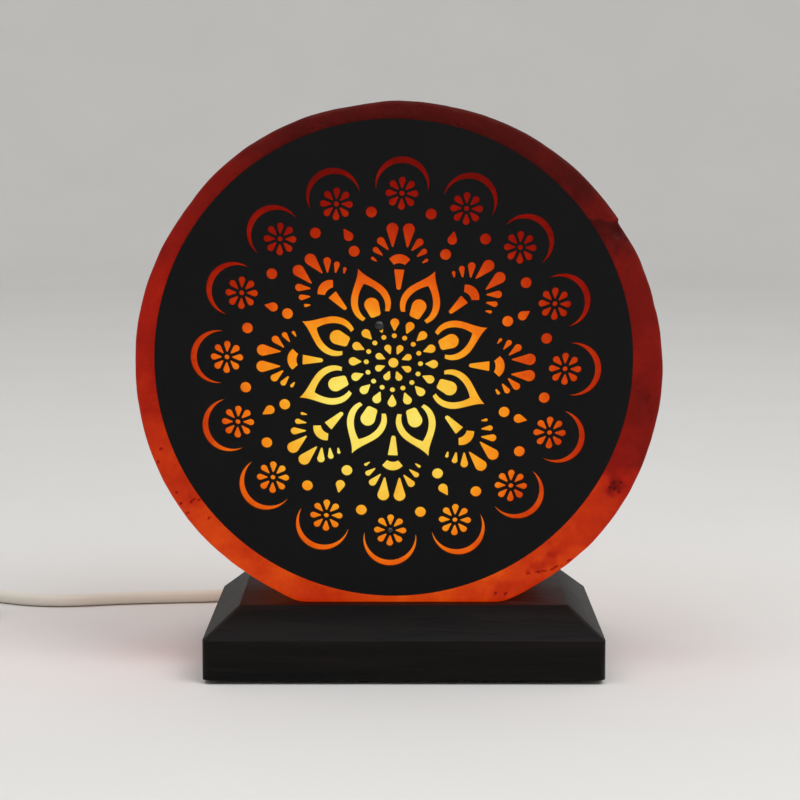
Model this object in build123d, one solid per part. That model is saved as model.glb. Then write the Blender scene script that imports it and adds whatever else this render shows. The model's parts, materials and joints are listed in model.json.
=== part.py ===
from build123d import *

import math
import os

# A salt crystal lamp: a round block of salt crystal on a black wooden base, with a thin black
# pattern plate pinned to its front face, a small bulb in a bore inside it, and a white lead with
# an inline switch and a two-pin plug.
# Millimetres, +Z up, front towards -Y. The table is z = 0, the salt's axis runs along Y through x = 0.

# ---------------------------------------------------------------- driving dimensions

# salt disc
DISC_RADIUS = 90.0
DISC_THICKNESS = 64.0
DISC_FLAT_DROP = 82.8        # from the disc's centre down to the flat it stands on
DISC_EDGE_ROUND = 3.0
BORE_RADIUS = 21.0           # the bore for bulb and holder, upwards from the flat
BORE_DEPTH = 95.0

# pattern plate, with its cut-outs
PLATE_RADIUS = 81.6
PLATE_THICKNESS = 2.0
PLATE_SHIFT_X = -1.5         # the plate's centre from the disc's centre
PLATE_SHIFT_Z = 1.5
PATTERN_SHIFT_X = 0.8        # the pattern's centre from the plate's centre
PATTERN_SHIFT_Z = -1.2
LOTUS_SHIFT_X = -0.9         # the lotus's centre from the pattern's centre
PATTERN_TURN = 2.0           # degrees, clockwise
CUT_TIP_RADIUS = 0.3         # the rounding of a cut-out's thin end

CENTRE_DOT_RADIUS = 1.7
SEED_RING, SEED_LENGTH, SEED_WIDTH = 5.3, 3.5, 2.4
SMALL_DOT_RING, SMALL_DOT_RADIUS = 9.25, 0.875
LOTUS_DROP_RING, LOTUS_DROP_LENGTH, LOTUS_DROP_WIDTH = 13.6, 4.35, 3.0
EGG_RING, EGG_LENGTH, EGG_WIDTH = 20.2, 6.8, 5.0
EGG_FOOT_WIDTH, EGG_FOOT_ROUND = 3.9, 1.0

PETAL_TIP = 34.3             # the outlined petals: distances out from the lotus's centre
PETAL_NECK = 31.7
PETAL_SHOULDER = 28.0
PETAL_CHEEK = 25.2
PETAL_WAIST = 22.2
PETAL_FOOT = 16.9
PETAL_INNER_TIP = 28.7
PETAL_INNER_SHOULDER = 26.6
PETAL_INNER_FOOT = 17.5
PETAL_NECK_HALF = 1.35       # and half widths at those distances
PETAL_SHOULDER_HALF = 4.2
PETAL_CHEEK_HALF = 6.0
PETAL_WAIST_HALF = 6.75
PETAL_FOOT_HALF = 4.8
PETAL_INNER_SHOULDER_HALF = 2.3
PETAL_INNER_WAIST_HALF = 4.45
PETAL_INNER_FOOT_HALF = 3.5

STEM_INNER, STEM_OUTER = 24.9, 31.9
STEM_INNER_WIDTH, STEM_OUTER_WIDTH = 1.5, 3.4
BOWL_TOP, BOWL_CORNER, BOWL_FOOT, BOWL_HOLLOW = 37.1, 35.3, 33.4, 33.95
BOWL_CORNER_HALF, BOWL_FOOT_HALF = 3.6, 1.9
# each fan drop: distance out, distance aside, length, width, lean in degrees
FAN_DROPS = [
    (44.6, 2.75, 8.2, 4.0, 2.5),
    (40.9, 6.2, 5.3, 2.6, 42.0),
    (38.0, 7.9, 4.0, 2.0, 53.0),
    (35.2, 9.0, 2.3, 1.2, 55.0),
]
GAP_DOT_RING, GAP_DOT_RADIUS = 40.6, 1.85
GAP_DROP_RING, GAP_DROP_LENGTH, GAP_DROP_WIDTH, GAP_DROP_LEAN = 46.1, 4.6, 3.2, -12.0
OUTER_DOT_RING, OUTER_DOT_RADIUS = 52.0, 1.85
FLOWER_RING, FLOWER_DOT_RADIUS = 57.7, 0.85
FLOWER_PETAL_RING, FLOWER_PETAL_LENGTH, FLOWER_PETAL_WIDTH = 4.17, 3.8, 2.3
CRESCENT_OUTER_RING, CRESCENT_OUTER_RADIUS = 61.0, 9.1
CRESCENT_INNER_RING, CRESCENT_INNER_RADIUS = 59.15, 8.8
PETALS, FLOWERS = 8, 16      # the pattern repeats 8 times in the middle and 16 times at its rim
EIGHTH, SIXTEENTH = 360 / PETALS, 360 / FLOWERS
FLOWER_PETALS = 8

# the two pins that hold the plate, and their wall plugs
UPPER_PIN_HEAD_RADIUS = 1.7  # in a drop of the lotus, left of its top
LOWER_PIN_HEAD_RADIUS = 1.2  # in the middle of the lowest flower
PIN_SHANK_RADIUS = 0.6
PIN_HEAD_HEIGHT = 0.9
PIN_IN_SALT = 7.0
PIN_PLUG_RADIUS = 1.6
PIN_PLUG_LENGTH = 8.0

# wooden base and its feet
BASE_WIDTH = 137.0
BASE_DEPTH = 107.0
BASE_SIDE_HEIGHT = 13.5
BASE_BEVEL_RUN = 12.0
BASE_BEVEL_RISE = 10.2
BASE_SHIFT_X = 2.0
BASE_SHIFT_Y = 4.5            # more of it lies behind the disc than in front
BASE_CORNER_ROUND = 3.0
BASE_BORE_RADIUS = 23.0
FOOT_RADIUS = 6.0
FOOT_HEIGHT = 1.5
FOOT_INSET = 13.0            # a foot's centre from the base's sides

# screws from below that hold the salt on the base
SALT_SCREW_X, SALT_SCREW_Y = 24.0, 22.0
SALT_SCREW_RADIUS = 2.0
SALT_SCREW_HEAD_RADIUS = 4.0
SALT_SCREW_HEAD_HEIGHT = 2.5
SALT_SCREW_IN_SALT = 22.0
SALT_SCREW_POINT = 3.0
SALT_PLUG_RADIUS = 3.0
SALT_PLUG_LENGTH = 25.0
COUNTERBORE_RADIUS = 5.0
COUNTERBORE_DEPTH = 8.0
CROSS_LENGTH, CROSS_WIDTH, CROSS_DEPTH = 4.0, 0.9, 1.0

# lampholder
HOLDER_BOTTOM = 12.0         # above the table
HOLDER_CAP_RADIUS = 14.5
HOLDER_CAP_HEIGHT = 11.0
HOLDER_CAP_WALL = 1.8
HOLDER_CAP_CHAMFER = 1.0
HOLDER_CAP_HOLE_RADIUS = 4.0
HOLDER_SPIGOT = 3.0
HOLDER_BODY_RADIUS = 13.5
HOLDER_BODY_HEIGHT = 26.0
HOLDER_FLOOR = 6.0
HOLDER_SOCKET_RADIUS = 8.2
CONTACT_THICKNESS = 0.5
CONTACT_WIDTH = 4.0
CONTACT_BEND = 0.5
CENTRE_RISER_X = 3.0
CENTRE_SCREW_X = 6.5
CENTRE_TONGUE_RISE = 2.6
SIDE_SCREW_X = -4.2
SIDE_CONTACT_TOP = 15.0      # above the socket's floor
TERMINAL_SCREW_RADIUS = 1.2
TERMINAL_SCREW_LENGTH = 5.0
TERMINAL_HEAD_RADIUS = 2.0
TERMINAL_HEAD_HEIGHT = 1.6
CLIP_THICKNESS = 0.6
CLIP_WIDTH = 9.0
CLIP_PAD = 0.6               # how deep the flat for a clip is cut into the holder
CLIP_FOOT, CLIP_KNEE, CLIP_ELBOW, CLIP_END = 2.0, 9.0, 18.0, 25.0   # up from the holder body's foot
CLIP_END_IN = 4.5
CLIP_BEND = 3.0
CLIP_SCREW_RADIUS = 1.0
CLIP_SCREW_LENGTH = 3.5
CLIP_SCREW_HEAD_RADIUS = 1.8
CLIP_SCREW_HEAD_HEIGHT = 0.9

# bulb
BULB_LENGTH = 60.0
BULB_RADIUS = 12.5
BULB_WALL = 0.7
BULB_NECK_RADIUS = 5.7
BULB_NECK_TOP = 21.9         # all of these up from the bulb's tip
BULB_SHOULDER = 33.4
BULB_TIP_RADIUS = 2.6
BULB_TIP_HEIGHT = 1.2
BULB_INSULATOR_HEIGHT = 2.6
BULB_CAP_RADIUS = 6.95
BULB_CAP_WALL = 0.45
BULB_CAP_HEIGHT = 16.6
BULB_THREAD_PITCH = 2.8
BULB_THREAD_DEPTH = 0.55
BULB_THREAD_TURNS = 4
BULB_THREAD_START = 0.7      # the lowest ring above the cap's foot
BULB_THREAD_FLANK, BULB_THREAD_CREST = 0.8, 0.6
BULB_GLASS_IN_CAP = 4.0
STEM_FLARE_RADIUS, STEM_FLARE_HEIGHT = 4.6, 4.0
GLASS_STEM_RADIUS, GLASS_STEM_HEIGHT = 2.2, 15.0
FILAMENT_HEIGHT = 44.0
FILAMENT_HALF_SPAN = 7.0
FILAMENT_BOW = 4.5
FILAMENT_RADIUS = 0.25
SUPPORT_WIRE_RADIUS = 0.3
SUPPORT_SPREAD = 1.2

# lead
LEAD_RADIUS = 2.5
LEAD_HEIGHT = 9.5            # where it leaves the base
LEAD_HOLE_RADIUS = 4.5
LEAD_SHEATH_END = 15.0       # the sheath ends this far behind the bore's axis
CORE_RADIUS = 0.9
CORE_SPREAD = 1.2
CORE_BEND = 1.6
CORE_STRIP = 1.0             # a core's bend beyond its screw
RELIEF_BARREL = 14.0
RELIEF_COLLAR_RADIUS, RELIEF_COLLAR = 6.5, 2.5
RELIEF_TAIL = 20.0
RELIEF_ROOT_RADIUS, RELIEF_END_RADIUS = 4.3, 3.2
RELIEF_GROOVES, RELIEF_GROOVE_WIDTH, RELIEF_GROOVE_DEPTH = 4, 1.2, 0.7
RUN_SHARE = 0.45             # an arc takes this share of the shorter of its two runs
LEAD_TO_SWITCH = [
    (0.0, 80.5, 9.5), (0.0, 91.0, 9.5), (-4.6, 101.6, 8.7), (-13.2, 109.6, 7.2), (-25.2, 113.4, 5.4),
    (-41.0, 111.8, 3.8), (-58.0, 106.2, 2.7), (-77.0, 101.4, 2.6), (-97.0, 99.4, 2.6),
    (-115.0, 96.2, 2.6), (-131.0, 91.6, 2.6), (-145.0, 92.8, 2.6), (-158.0, 99.6, 2.6),
    (-171.0, 107.6, 2.6), (-183.5, 112.6, 2.6), (-196.0, 112.4, 2.6), (-207.4, 107.2, 3.2),
    (-215.9, 98.2, 5.0), (-220.4, 86.5, 6.8), (-220.4, 74.0, 6.8),
]
LEAD_TO_COIL = [
    (-220.4, -20.0, 6.8), (-220.4, -27.0, 6.8), (-220.4, -39.0, 3.75), (-220.4, -46.0, 3.75),
]
LEAD_TO_PLUG = [
    (-151.6, -46.0, 9.25), (-151.6, -35.0, 9.25), (-154.4, -24.4, 7.9), (-159.9, -14.9, 5.6),
    (-167.6, -7.1, 4.0), (-173.1, 2.4, 4.6), (-176.0, 13.0, 6.85), (-176.0, 24.0, 6.85),
]
COIL_X, COIL_Y = -186.0, -51.0
COIL_RADIUS = 34.4           # of the outermost half turn's centre line
COIL_PITCH = 5.5             # from one turn to the next, and from layer to layer
COIL_HEIGHT = 3.75           # the lower layer's centre line
COIL_HALF_TURNS = 6          # in each layer
COIL_STUB = 5.0
GAP_STEP = 2.0               # how closely the coil's gap to itself is measured
GAP_APART = 30.0             # between stretches at least this far apart along it
TIE_THICKNESS = 1.0
TIE_WIDTH = 8.0
TIE_ROOM = 0.25
TIE_ROOM_INSIDE = 1.5        # the innermost turn is the most curved

# inline switch, its long side along Y
SWITCH_X, SWITCH_Y = -220.4, 27.0
SWITCH_LENGTH, SWITCH_WIDTH, SWITCH_HEIGHT = 54.0, 22.0, 15.5
SWITCH_SPLIT = 6.8
SWITCH_WALL = 1.6
SWITCH_CORNER = 6.0
SWITCH_EDGE_ROUND = 2.0
SWITCH_MOUTH_RADIUS = 3.2
SWITCH_RELIEF_TAIL = 20.0
SWITCH_RELIEF_FLANGE_RADIUS, SWITCH_RELIEF_FLANGE = 4.4, 1.5
SWITCH_SCREW_X, SWITCH_SCREW_Y = 6.3, 18.0
SWITCH_BOSS_RADIUS, SWITCH_SCREW_RADIUS, SWITCH_SCREW_HEAD_RADIUS = 2.5, 1.1, 2.0
SWITCH_SCREW_HEAD_HEIGHT, SWITCH_SCREW_LENGTH = 1.3, 10.0
ROCKER_LENGTH, ROCKER_WIDTH = 16.4, 8.6
ROCKER_PIVOT = 11.2          # above the table
ROCKER_RISE, ROCKER_DISH, ROCKER_SIDE = 3.8, 0.9, 2.0
ROCKER_KEEL = 2.4
ROCKER_TILT = 12.0           # degrees each way from level
ROCKER_STUB_RADIUS, ROCKER_STUB_LENGTH = 1.2, 1.5
ROCKER_GAP = 0.4
EAR_THICKNESS = 1.6
EAR_DROP = 2.6               # below the pivot
EAR_HALF_LENGTH = 3.6
BRIDGE_LENGTH, BRIDGE_WIDTH, BRIDGE_THICKNESS = 11.0, 4.0, 0.6
FIXED_CONTACT_WIDTH = 4.0
FIXED_CONTACT_REACH = 14.0
FIXED_CONTACT_THICKNESS = 0.6
MIDDLE_CONTACT_HALF = 1.0    # half the length of the contact under the bridge's middle
END_CONTACT_LENGTH = 2.0
CORE_RUN = 2.5               # a core's straight ends in the switch
CORE_ON_FOOT = 3.0
BYPASS_X, BYPASS_HEIGHT, BYPASS_SWING = -6.3, 4.0, 9.0

# plug, pins towards +Y
PLUG_X, PLUG_Y = -176.0, 44.0     # the rear of its body
PLUG_LENGTH, PLUG_WIDTH, PLUG_REAR_WIDTH, PLUG_THICKNESS = 30.0, 35.3, 14.0, 13.7
PLUG_HEAD = 11.0                  # the stretch that is full width
PLUG_ROUND = 3.0
PLUG_RELIEF_TAIL = 20.0
PLUG_RELIEF_ROOT_RADIUS = 4.6
PIN_SPACING = 18.6
PLUG_PIN_RADIUS, PLUG_PIN_LENGTH = 2.0, 19.0
PLUG_PIN_CORE_RADIUS, PLUG_PIN_SLEEVE, PLUG_PIN_ROOT, PLUG_PIN_TIP = 1.5, 10.0, 8.0, 1.0

# clearances
FIT = 0.02                   # a fixed piece in its hole, each side
RUNNING = 0.05               # a pivot in its bearing, each side
SLIP = 0.2                   # loose pieces side by side

# ---------------------------------------------------------------- places that follow from them

BASE_TOP = FOOT_HEIGHT + BASE_SIDE_HEIGHT + BASE_BEVEL_RISE
BASE_BACK = BASE_SHIFT_Y + BASE_DEPTH / 2
DISC_CENTRE = BASE_TOP + DISC_FLAT_DROP
DISC_FRONT = -DISC_THICKNESS / 2
PLATE_X, PLATE_Z = PLATE_SHIFT_X, DISC_CENTRE + PLATE_SHIFT_Z
HOLDER_FOOT = HOLDER_BOTTOM + HOLDER_CAP_HEIGHT
SOCKET_FLOOR = HOLDER_FOOT + HOLDER_FLOOR
TERMINAL_FACE = HOLDER_FOOT - HOLDER_SPIGOT
BULB_TIP = SOCKET_FLOOR + CONTACT_THICKNESS + CENTRE_TONGUE_RISE + SLIP
BULB_CAP_FOOT = BULB_TIP + BULB_TIP_HEIGHT + BULB_INSULATOR_HEIGHT
BULB_CAP_TOP = BULB_CAP_FOOT + BULB_CAP_HEIGHT

os.makedirs("parts", exist_ok=True)


def save(name, *solids):
    """Writes one named piece, or a group of like pieces.

    The pieces are built about the bulb's axis, and the frame's origin is under the base's middle."""
    solids = [Pos(0, -BASE_SHIFT_Y, 0) * solid for solid in solids]
    shape = solids[0] if len(solids) == 1 else Compound(children=solids)
    export_step(shape, f"parts/{name}.step")


# ---------------------------------------------------------------- shapes that come back

def turned_on_z(outline):
    """A solid turned about Z from (radius, height) points."""
    return revolve(Plane.XZ * Polygon(*outline, align=None), Axis.Z)


def turned_on_y(outline):
    """A solid turned about Y from (radius, y) points."""
    return revolve(Polygon(*outline, align=None), Axis.Y)


def column(radius, low, high, x=0.0, y=0.0):
    """An upright cylinder between two heights."""
    return Pos(x, y, (low + high) / 2) * Cylinder(radius, high - low)


def rod(radius, front, back, x=0.0, z=0.0):
    """A cylinder along Y between two places."""
    return Pos(x, (front + back) / 2, z) * Rot(X=90) * Cylinder(radius, back - front)


def block(low, high):
    """A box between its lowest and highest corners."""
    size = [b - a for a, b in zip(low, high)]
    return Pos(*[(a + b) / 2 for a, b in zip(low, high)]) * Box(*size)


def strip(points, bend, thickness, width):
    """A bent metal strip: (x, z) points of its centre line, extruded along Y about y = 0."""
    line = FilletPolyline(*points, radius=bend)
    return extrude(Plane.XZ * trace(line, thickness), width / 2, both=True)


def bend_radii(points):
    """The largest arc that each corner of a route leaves room for."""
    radii = []
    for a, b, c in zip(points, points[1:], points[2:]):
        into, out = Vector(b) - Vector(a), Vector(c) - Vector(b)
        half_turn = math.radians(into.get_angle(out)) / 2
        radii.append(RUN_SHARE * min(into.length, out.length) / math.tan(half_turn))
    return radii


def tube(path, radius):
    """A round bar along a path of runs and tangent arcs."""
    start = Plane(origin=path @ 0, z_dir=path % 0)
    return sweep(start * Circle(radius), path=path)


def lead_tube(name, points):
    """A free stretch of the lead, with its bends and volume printed."""
    radii = bend_radii(points)
    path = FilletPolyline(*points, radius=radii)
    solid = tube(path, LEAD_RADIUS)
    share = solid.volume / (math.pi * LEAD_RADIUS**2 * path.length)
    print(f"{name}: length {path.length:.1f} mm, tightest bend {min(radii):.1f} mm, volume share {share:.4f}")
    print("  radii", [round(r, 1) for r in radii])
    return solid


def tapered_tail(length, root, end):
    """(radius, y) points of a strain relief's outside from y = 0 to its end, with flexing grooves."""
    points = [(root, 0.0)]
    step = length / (RELIEF_GROOVES + 1)
    for k in range(1, RELIEF_GROOVES + 1):
        middle = k * step
        radius = root + (end - root) * middle / length
        low, high = middle - RELIEF_GROOVE_WIDTH / 2, middle + RELIEF_GROOVE_WIDTH / 2
        points += [(radius, low), (radius - RELIEF_GROOVE_DEPTH, low)]
        points += [(radius - RELIEF_GROOVE_DEPTH, high), (radius, high)]
    return points + [(end, length)]


# ---------------------------------------------------------------- salt disc and pattern plate

def salt_disc():
    disc = Rot(X=90) * Cylinder(DISC_RADIUS, DISC_THICKNESS)
    disc = fillet(disc.edges().filter_by(GeomType.CIRCLE), DISC_EDGE_ROUND)
    below = Pos(0, 0, -DISC_FLAT_DROP - DISC_RADIUS / 2) * Box(2 * DISC_RADIUS, DISC_THICKNESS, DISC_RADIUS)
    disc = Pos(0, 0, DISC_CENTRE) * (disc - below)
    disc -= column(BORE_RADIUS, BASE_TOP, BASE_TOP + BORE_DEPTH)
    for x, y in salt_screw_places():
        disc -= column(SALT_PLUG_RADIUS + FIT, BASE_TOP, BASE_TOP + SALT_PLUG_LENGTH, x, y)
    for x, z, _ in plate_pin_places():
        disc -= rod(PIN_PLUG_RADIUS + FIT, DISC_FRONT, DISC_FRONT + PIN_PLUG_LENGTH, x, z)
    return disc


def around(angle, out, aside=0.0):
    """A point on the plate: out from the centre at an angle clockwise from the top, and aside clockwise."""
    a = math.radians(angle)
    return (out * math.sin(a) + aside * math.cos(a), out * math.cos(a) - aside * math.sin(a))


def rounded_hull(circles):
    """The outline that a band stretched round some circles takes: tangent lines and arcs.

    Circles are (x, y, radius), anticlockwise. The tangent from one to the next leaves at the angle of
    the line between their centres, less a right angle, plus the arcsine of the radii's difference
    over the centres' distance."""
    normals = []
    for (ax, ay, ar), (bx, by, br) in zip(circles, circles[1:] + circles[:1]):
        lean = math.asin((ar - br) / math.hypot(bx - ax, by - ay))
        normals.append(math.atan2(by - ay, bx - ax) - math.pi / 2 + lean)
    edges = []
    for k, (x, y, r) in enumerate(circles):
        start, end = normals[k - 1], normals[k]
        while end < start:
            end += 2 * math.pi
        arc = [(x + r * math.cos(t), y + r * math.sin(t)) for t in (start, (start + end) / 2, end)]
        following = circles[(k + 1) % len(circles)]
        touch = tuple(c + following[2] * f(end) for c, f in zip(following, (math.cos, math.sin)))
        edges += [Edge.make_three_point_arc(*arc), Edge.make_line(arc[2], touch)]
    return Wire(edges)


def moved(wire, x, y):
    return wire.moved(Location((x, y, 0)))


def turned(wire, angle):
    """A wire turned clockwise about the centre."""
    return wire.moved(Location((0, 0, 0), (0, 0, -angle)))


def drop(length, width):
    """A drop that points down, with its middle of area at the centre."""
    head = width / 2
    reach = length - head - CUT_TIP_RADIUS
    middle = (reach**2 / 3 - 2 * head**2 / 3) / (reach + math.pi * head / 2)
    return rounded_hull([(0, middle, head), (0, middle - reach, CUT_TIP_RADIUS)])


def dot(radius):
    return Wire.make_circle(radius)


def egg():
    """An oval with a round top and a blunt foot."""
    head = EGG_WIDTH / 2
    foot = EGG_FOOT_ROUND
    low, aside = foot - EGG_LENGTH / 2, EGG_FOOT_WIDTH / 2 - foot
    return rounded_hull([(-aside, low, foot), (aside, low, foot), (0, EGG_LENGTH / 2 - head, head)])


def petal():
    """An outlined pointed petal, open at its foot: two ogee outer sides, an arched inner side."""
    tip, inner_tip = (0, PETAL_TIP), (0, PETAL_INNER_TIP)
    outer = [
        (PETAL_NECK_HALF, PETAL_NECK),
        (PETAL_SHOULDER_HALF, PETAL_SHOULDER),
        (PETAL_CHEEK_HALF, PETAL_CHEEK),
        (PETAL_WAIST_HALF, PETAL_WAIST),
        (PETAL_FOOT_HALF, PETAL_FOOT),
    ]
    inner = [
        (PETAL_INNER_FOOT_HALF, PETAL_INNER_FOOT),
        (PETAL_INNER_WAIST_HALF, PETAL_WAIST),
        (PETAL_INNER_SHOULDER_HALF, PETAL_INNER_SHOULDER),
    ]
    edges = []
    for side in (1, -1):
        outside = [tip] + [(side * x, y) for x, y in outer]
        inside = [(side * x, y) for x, y in inner] + [inner_tip]
        foot = Edge.make_line(outside[-1], inside[0])
        edges += [Edge.make_spline(outside), foot, Edge.make_spline(inside)]
    return Wire(edges)


def stem():
    foot, corner = STEM_INNER_WIDTH / 2, CUT_TIP_RADIUS
    aside, top = STEM_OUTER_WIDTH / 2 - corner, STEM_OUTER - corner
    return rounded_hull([(0, STEM_INNER + foot, foot), (aside, top, corner), (-aside, top, corner)])


def bowl():
    """A bowl on its stem: domed top, cut corners, hollow foot."""
    right, left = (BOWL_CORNER_HALF, BOWL_CORNER), (-BOWL_CORNER_HALF, BOWL_CORNER)
    foot_right, foot_left = (BOWL_FOOT_HALF, BOWL_FOOT), (-BOWL_FOOT_HALF, BOWL_FOOT)
    return Wire([
        Edge.make_three_point_arc(right, (0, BOWL_TOP), left),
        Edge.make_line(left, foot_left),
        Edge.make_three_point_arc(foot_left, (0, BOWL_HOLLOW), foot_right),
        Edge.make_line(foot_right, right),
    ])


def crescent():
    """The part of a circle that a second, shifted circle leaves, from tip to tip round the outside."""
    shift = CRESCENT_OUTER_RING - CRESCENT_INNER_RING
    along = (CRESCENT_INNER_RADIUS**2 - CRESCENT_OUTER_RADIUS**2 - shift**2) / (2 * shift)
    aside = math.sqrt(CRESCENT_OUTER_RADIUS**2 - along**2)
    right, left = (aside, CRESCENT_OUTER_RING + along), (-aside, CRESCENT_OUTER_RING + along)
    return Wire([
        Edge.make_three_point_arc(right, (0, CRESCENT_OUTER_RING + CRESCENT_OUTER_RADIUS), left),
        Edge.make_three_point_arc(left, (0, CRESCENT_INNER_RING + CRESCENT_INNER_RADIUS), right),
    ])


def lotus_cuts():
    """The flower in the middle, about its own centre."""
    cuts = [dot(CENTRE_DOT_RADIUS)]
    for k in range(PETALS):
        between = (k + 0.5) * EIGHTH
        cuts.append(turned(moved(drop(SEED_LENGTH, SEED_WIDTH), 0, SEED_RING), between))
        cuts.append(turned(moved(egg(), 0, EGG_RING), between))
        cuts.append(turned(petal(), between))
    for k in range(FLOWERS):
        cuts.append(moved(dot(SMALL_DOT_RADIUS), *around(k * SIXTEENTH, SMALL_DOT_RING)))
        lotus_drop = moved(drop(LOTUS_DROP_LENGTH, LOTUS_DROP_WIDTH), 0, LOTUS_DROP_RING)
        cuts.append(turned(lotus_drop, k * SIXTEENTH))
    return cuts


def fan_cuts():
    """Eight fans of drops over a bowl and a stem, with a dot and a drop between fans."""
    cuts = []
    for k in range(PETALS):
        axis = k * EIGHTH
        cuts += [turned(stem(), axis), turned(bowl(), axis)]
        for out, aside, length, width, lean in FAN_DROPS:
            for side in (1, -1):
                leaning = turned(drop(length, width), side * lean)
                cuts.append(turned(moved(leaning, side * aside, out), axis))
        between = axis + EIGHTH / 2
        cuts.append(moved(dot(GAP_DOT_RADIUS), *around(between, GAP_DOT_RING)))
        gap_drop = turned(drop(GAP_DROP_LENGTH, GAP_DROP_WIDTH), 180 + GAP_DROP_LEAN)
        cuts.append(turned(moved(gap_drop, 0, GAP_DROP_RING), between))
    return cuts


def border_cuts():
    """Sixteen small flowers, each under a crescent, with dots between them."""
    cuts = []
    for k in range(FLOWERS):
        axis = k * SIXTEENTH
        cuts.append(turned(crescent(), axis))
        cuts.append(moved(dot(OUTER_DOT_RADIUS), *around(axis + SIXTEENTH / 2, OUTER_DOT_RING)))
        middle = around(axis, FLOWER_RING)
        cuts.append(moved(dot(FLOWER_DOT_RADIUS), *middle))
        for j in range(FLOWER_PETALS):
            leaf = moved(drop(FLOWER_PETAL_LENGTH, FLOWER_PETAL_WIDTH), 0, FLOWER_PETAL_RING)
            cuts.append(moved(turned(leaf, j * 360 / FLOWER_PETALS), *middle))
    return cuts


def pattern_plate():
    """One holed face, as thick as the plate."""
    cuts = [moved(cut, LOTUS_SHIFT_X, 0) for cut in lotus_cuts()] + fan_cuts() + border_cuts()
    placed = [moved(turned(cut, PATTERN_TURN), PATTERN_SHIFT_X, PATTERN_SHIFT_Z) for cut in cuts]
    print("cut-outs in the plate", len(placed))
    face = Face(Wire.make_circle(PLATE_RADIUS), placed)
    on_disc = Plane(origin=(PLATE_X, DISC_FRONT, PLATE_Z), x_dir=(1, 0, 0), z_dir=(0, -1, 0))
    return extrude(on_disc * face, PLATE_THICKNESS)


def plate_pin_places():
    """x, z and head radius of each pin: one in a drop of the lotus, one in the lowest flower's middle."""
    middle_x, middle_z = PLATE_X + PATTERN_SHIFT_X, PLATE_Z + PATTERN_SHIFT_Z
    x, z = around(PATTERN_TURN - SIXTEENTH, LOTUS_DROP_RING)
    lotus_x, lotus_z = around(PATTERN_TURN, 0, LOTUS_SHIFT_X)
    upper = (middle_x + lotus_x + x, middle_z + lotus_z + z, UPPER_PIN_HEAD_RADIUS)
    x, z = around(PATTERN_TURN + 180, FLOWER_RING)
    lower = (middle_x + x, middle_z + z, LOWER_PIN_HEAD_RADIUS)
    return [upper, lower]


def plate_pins():
    pins = []
    seat = DISC_FRONT - PLATE_THICKNESS
    for x, z, head_radius in plate_pin_places():
        ball = (head_radius**2 + PIN_HEAD_HEIGHT**2) / (2 * PIN_HEAD_HEIGHT)
        cap = Pos(0, seat - PIN_HEAD_HEIGHT + ball, 0) * Sphere(ball)
        cap &= block((-ball, seat - PIN_HEAD_HEIGHT, -ball), (ball, seat, ball))
        shank = rod(PIN_SHANK_RADIUS, seat, DISC_FRONT + PIN_IN_SALT)
        pins.append(Pos(x, 0, z) * (cap + shank))
    return pins


def pin_plugs():
    plugs = []
    for x, z, _ in plate_pin_places():
        plug = rod(PIN_PLUG_RADIUS, DISC_FRONT, DISC_FRONT + PIN_PLUG_LENGTH - SLIP, x, z)
        plugs.append(plug - rod(PIN_SHANK_RADIUS + FIT, DISC_FRONT, DISC_FRONT + PIN_IN_SALT + SLIP, x, z))
    return plugs


# ---------------------------------------------------------------- wooden base and fixings

def salt_screw_places():
    return [(SALT_SCREW_X, -SALT_SCREW_Y), (-SALT_SCREW_X, SALT_SCREW_Y)]


def wooden_base():
    side_top = FOOT_HEIGHT + BASE_SIDE_HEIGHT
    outline = RectangleRounded(BASE_WIDTH, BASE_DEPTH, BASE_CORNER_ROUND)
    top_width, top_depth = BASE_WIDTH - 2 * BASE_BEVEL_RUN, BASE_DEPTH - 2 * BASE_BEVEL_RUN
    top_outline = RectangleRounded(top_width, top_depth, BASE_CORNER_ROUND)
    base = Pos(0, 0, FOOT_HEIGHT) * extrude(outline, BASE_SIDE_HEIGHT)
    base += loft([Pos(0, 0, side_top) * outline, Pos(0, 0, BASE_TOP) * top_outline])
    base = Pos(BASE_SHIFT_X, BASE_SHIFT_Y, 0) * base
    base -= column(BASE_BORE_RADIUS, FOOT_HEIGHT, BASE_TOP)
    base -= rod(LEAD_HOLE_RADIUS, 0, BASE_BACK, 0, LEAD_HEIGHT)
    for x, y in salt_screw_places():
        base -= column(COUNTERBORE_RADIUS, FOOT_HEIGHT, FOOT_HEIGHT + COUNTERBORE_DEPTH, x, y)
        base -= column(SALT_SCREW_RADIUS + SLIP, FOOT_HEIGHT, BASE_TOP, x, y)
    return base


def base_feet():
    across, along = BASE_WIDTH / 2 - FOOT_INSET, BASE_DEPTH / 2 - FOOT_INSET
    signs = [(sx, sy) for sx in (1, -1) for sy in (1, -1)]
    places = [(BASE_SHIFT_X + sx * across, BASE_SHIFT_Y + sy * along) for sx, sy in signs]
    return [column(FOOT_RADIUS, 0, FOOT_HEIGHT, x, y) for x, y in places]


def crossed(head, x, y, low):
    """A head with a cross cut into its underside."""
    for across, along in ((CROSS_WIDTH, CROSS_LENGTH), (CROSS_LENGTH, CROSS_WIDTH)):
        head -= Pos(x, y, low + CROSS_DEPTH / 2) * Box(across, along, CROSS_DEPTH)
    return head


def salt_screws():
    screws = []
    seat = FOOT_HEIGHT + COUNTERBORE_DEPTH
    tip = BASE_TOP + SALT_SCREW_IN_SALT
    low = seat - SALT_SCREW_HEAD_HEIGHT
    for x, y in salt_screw_places():
        screw = turned_on_z([
            (0, low), (SALT_SCREW_HEAD_RADIUS, low), (SALT_SCREW_HEAD_RADIUS, seat),
            (SALT_SCREW_RADIUS, seat), (SALT_SCREW_RADIUS, tip - SALT_SCREW_POINT), (0, tip),
        ])
        screws.append(crossed(Pos(x, y, 0) * screw, x, y, low))
    return screws


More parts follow.
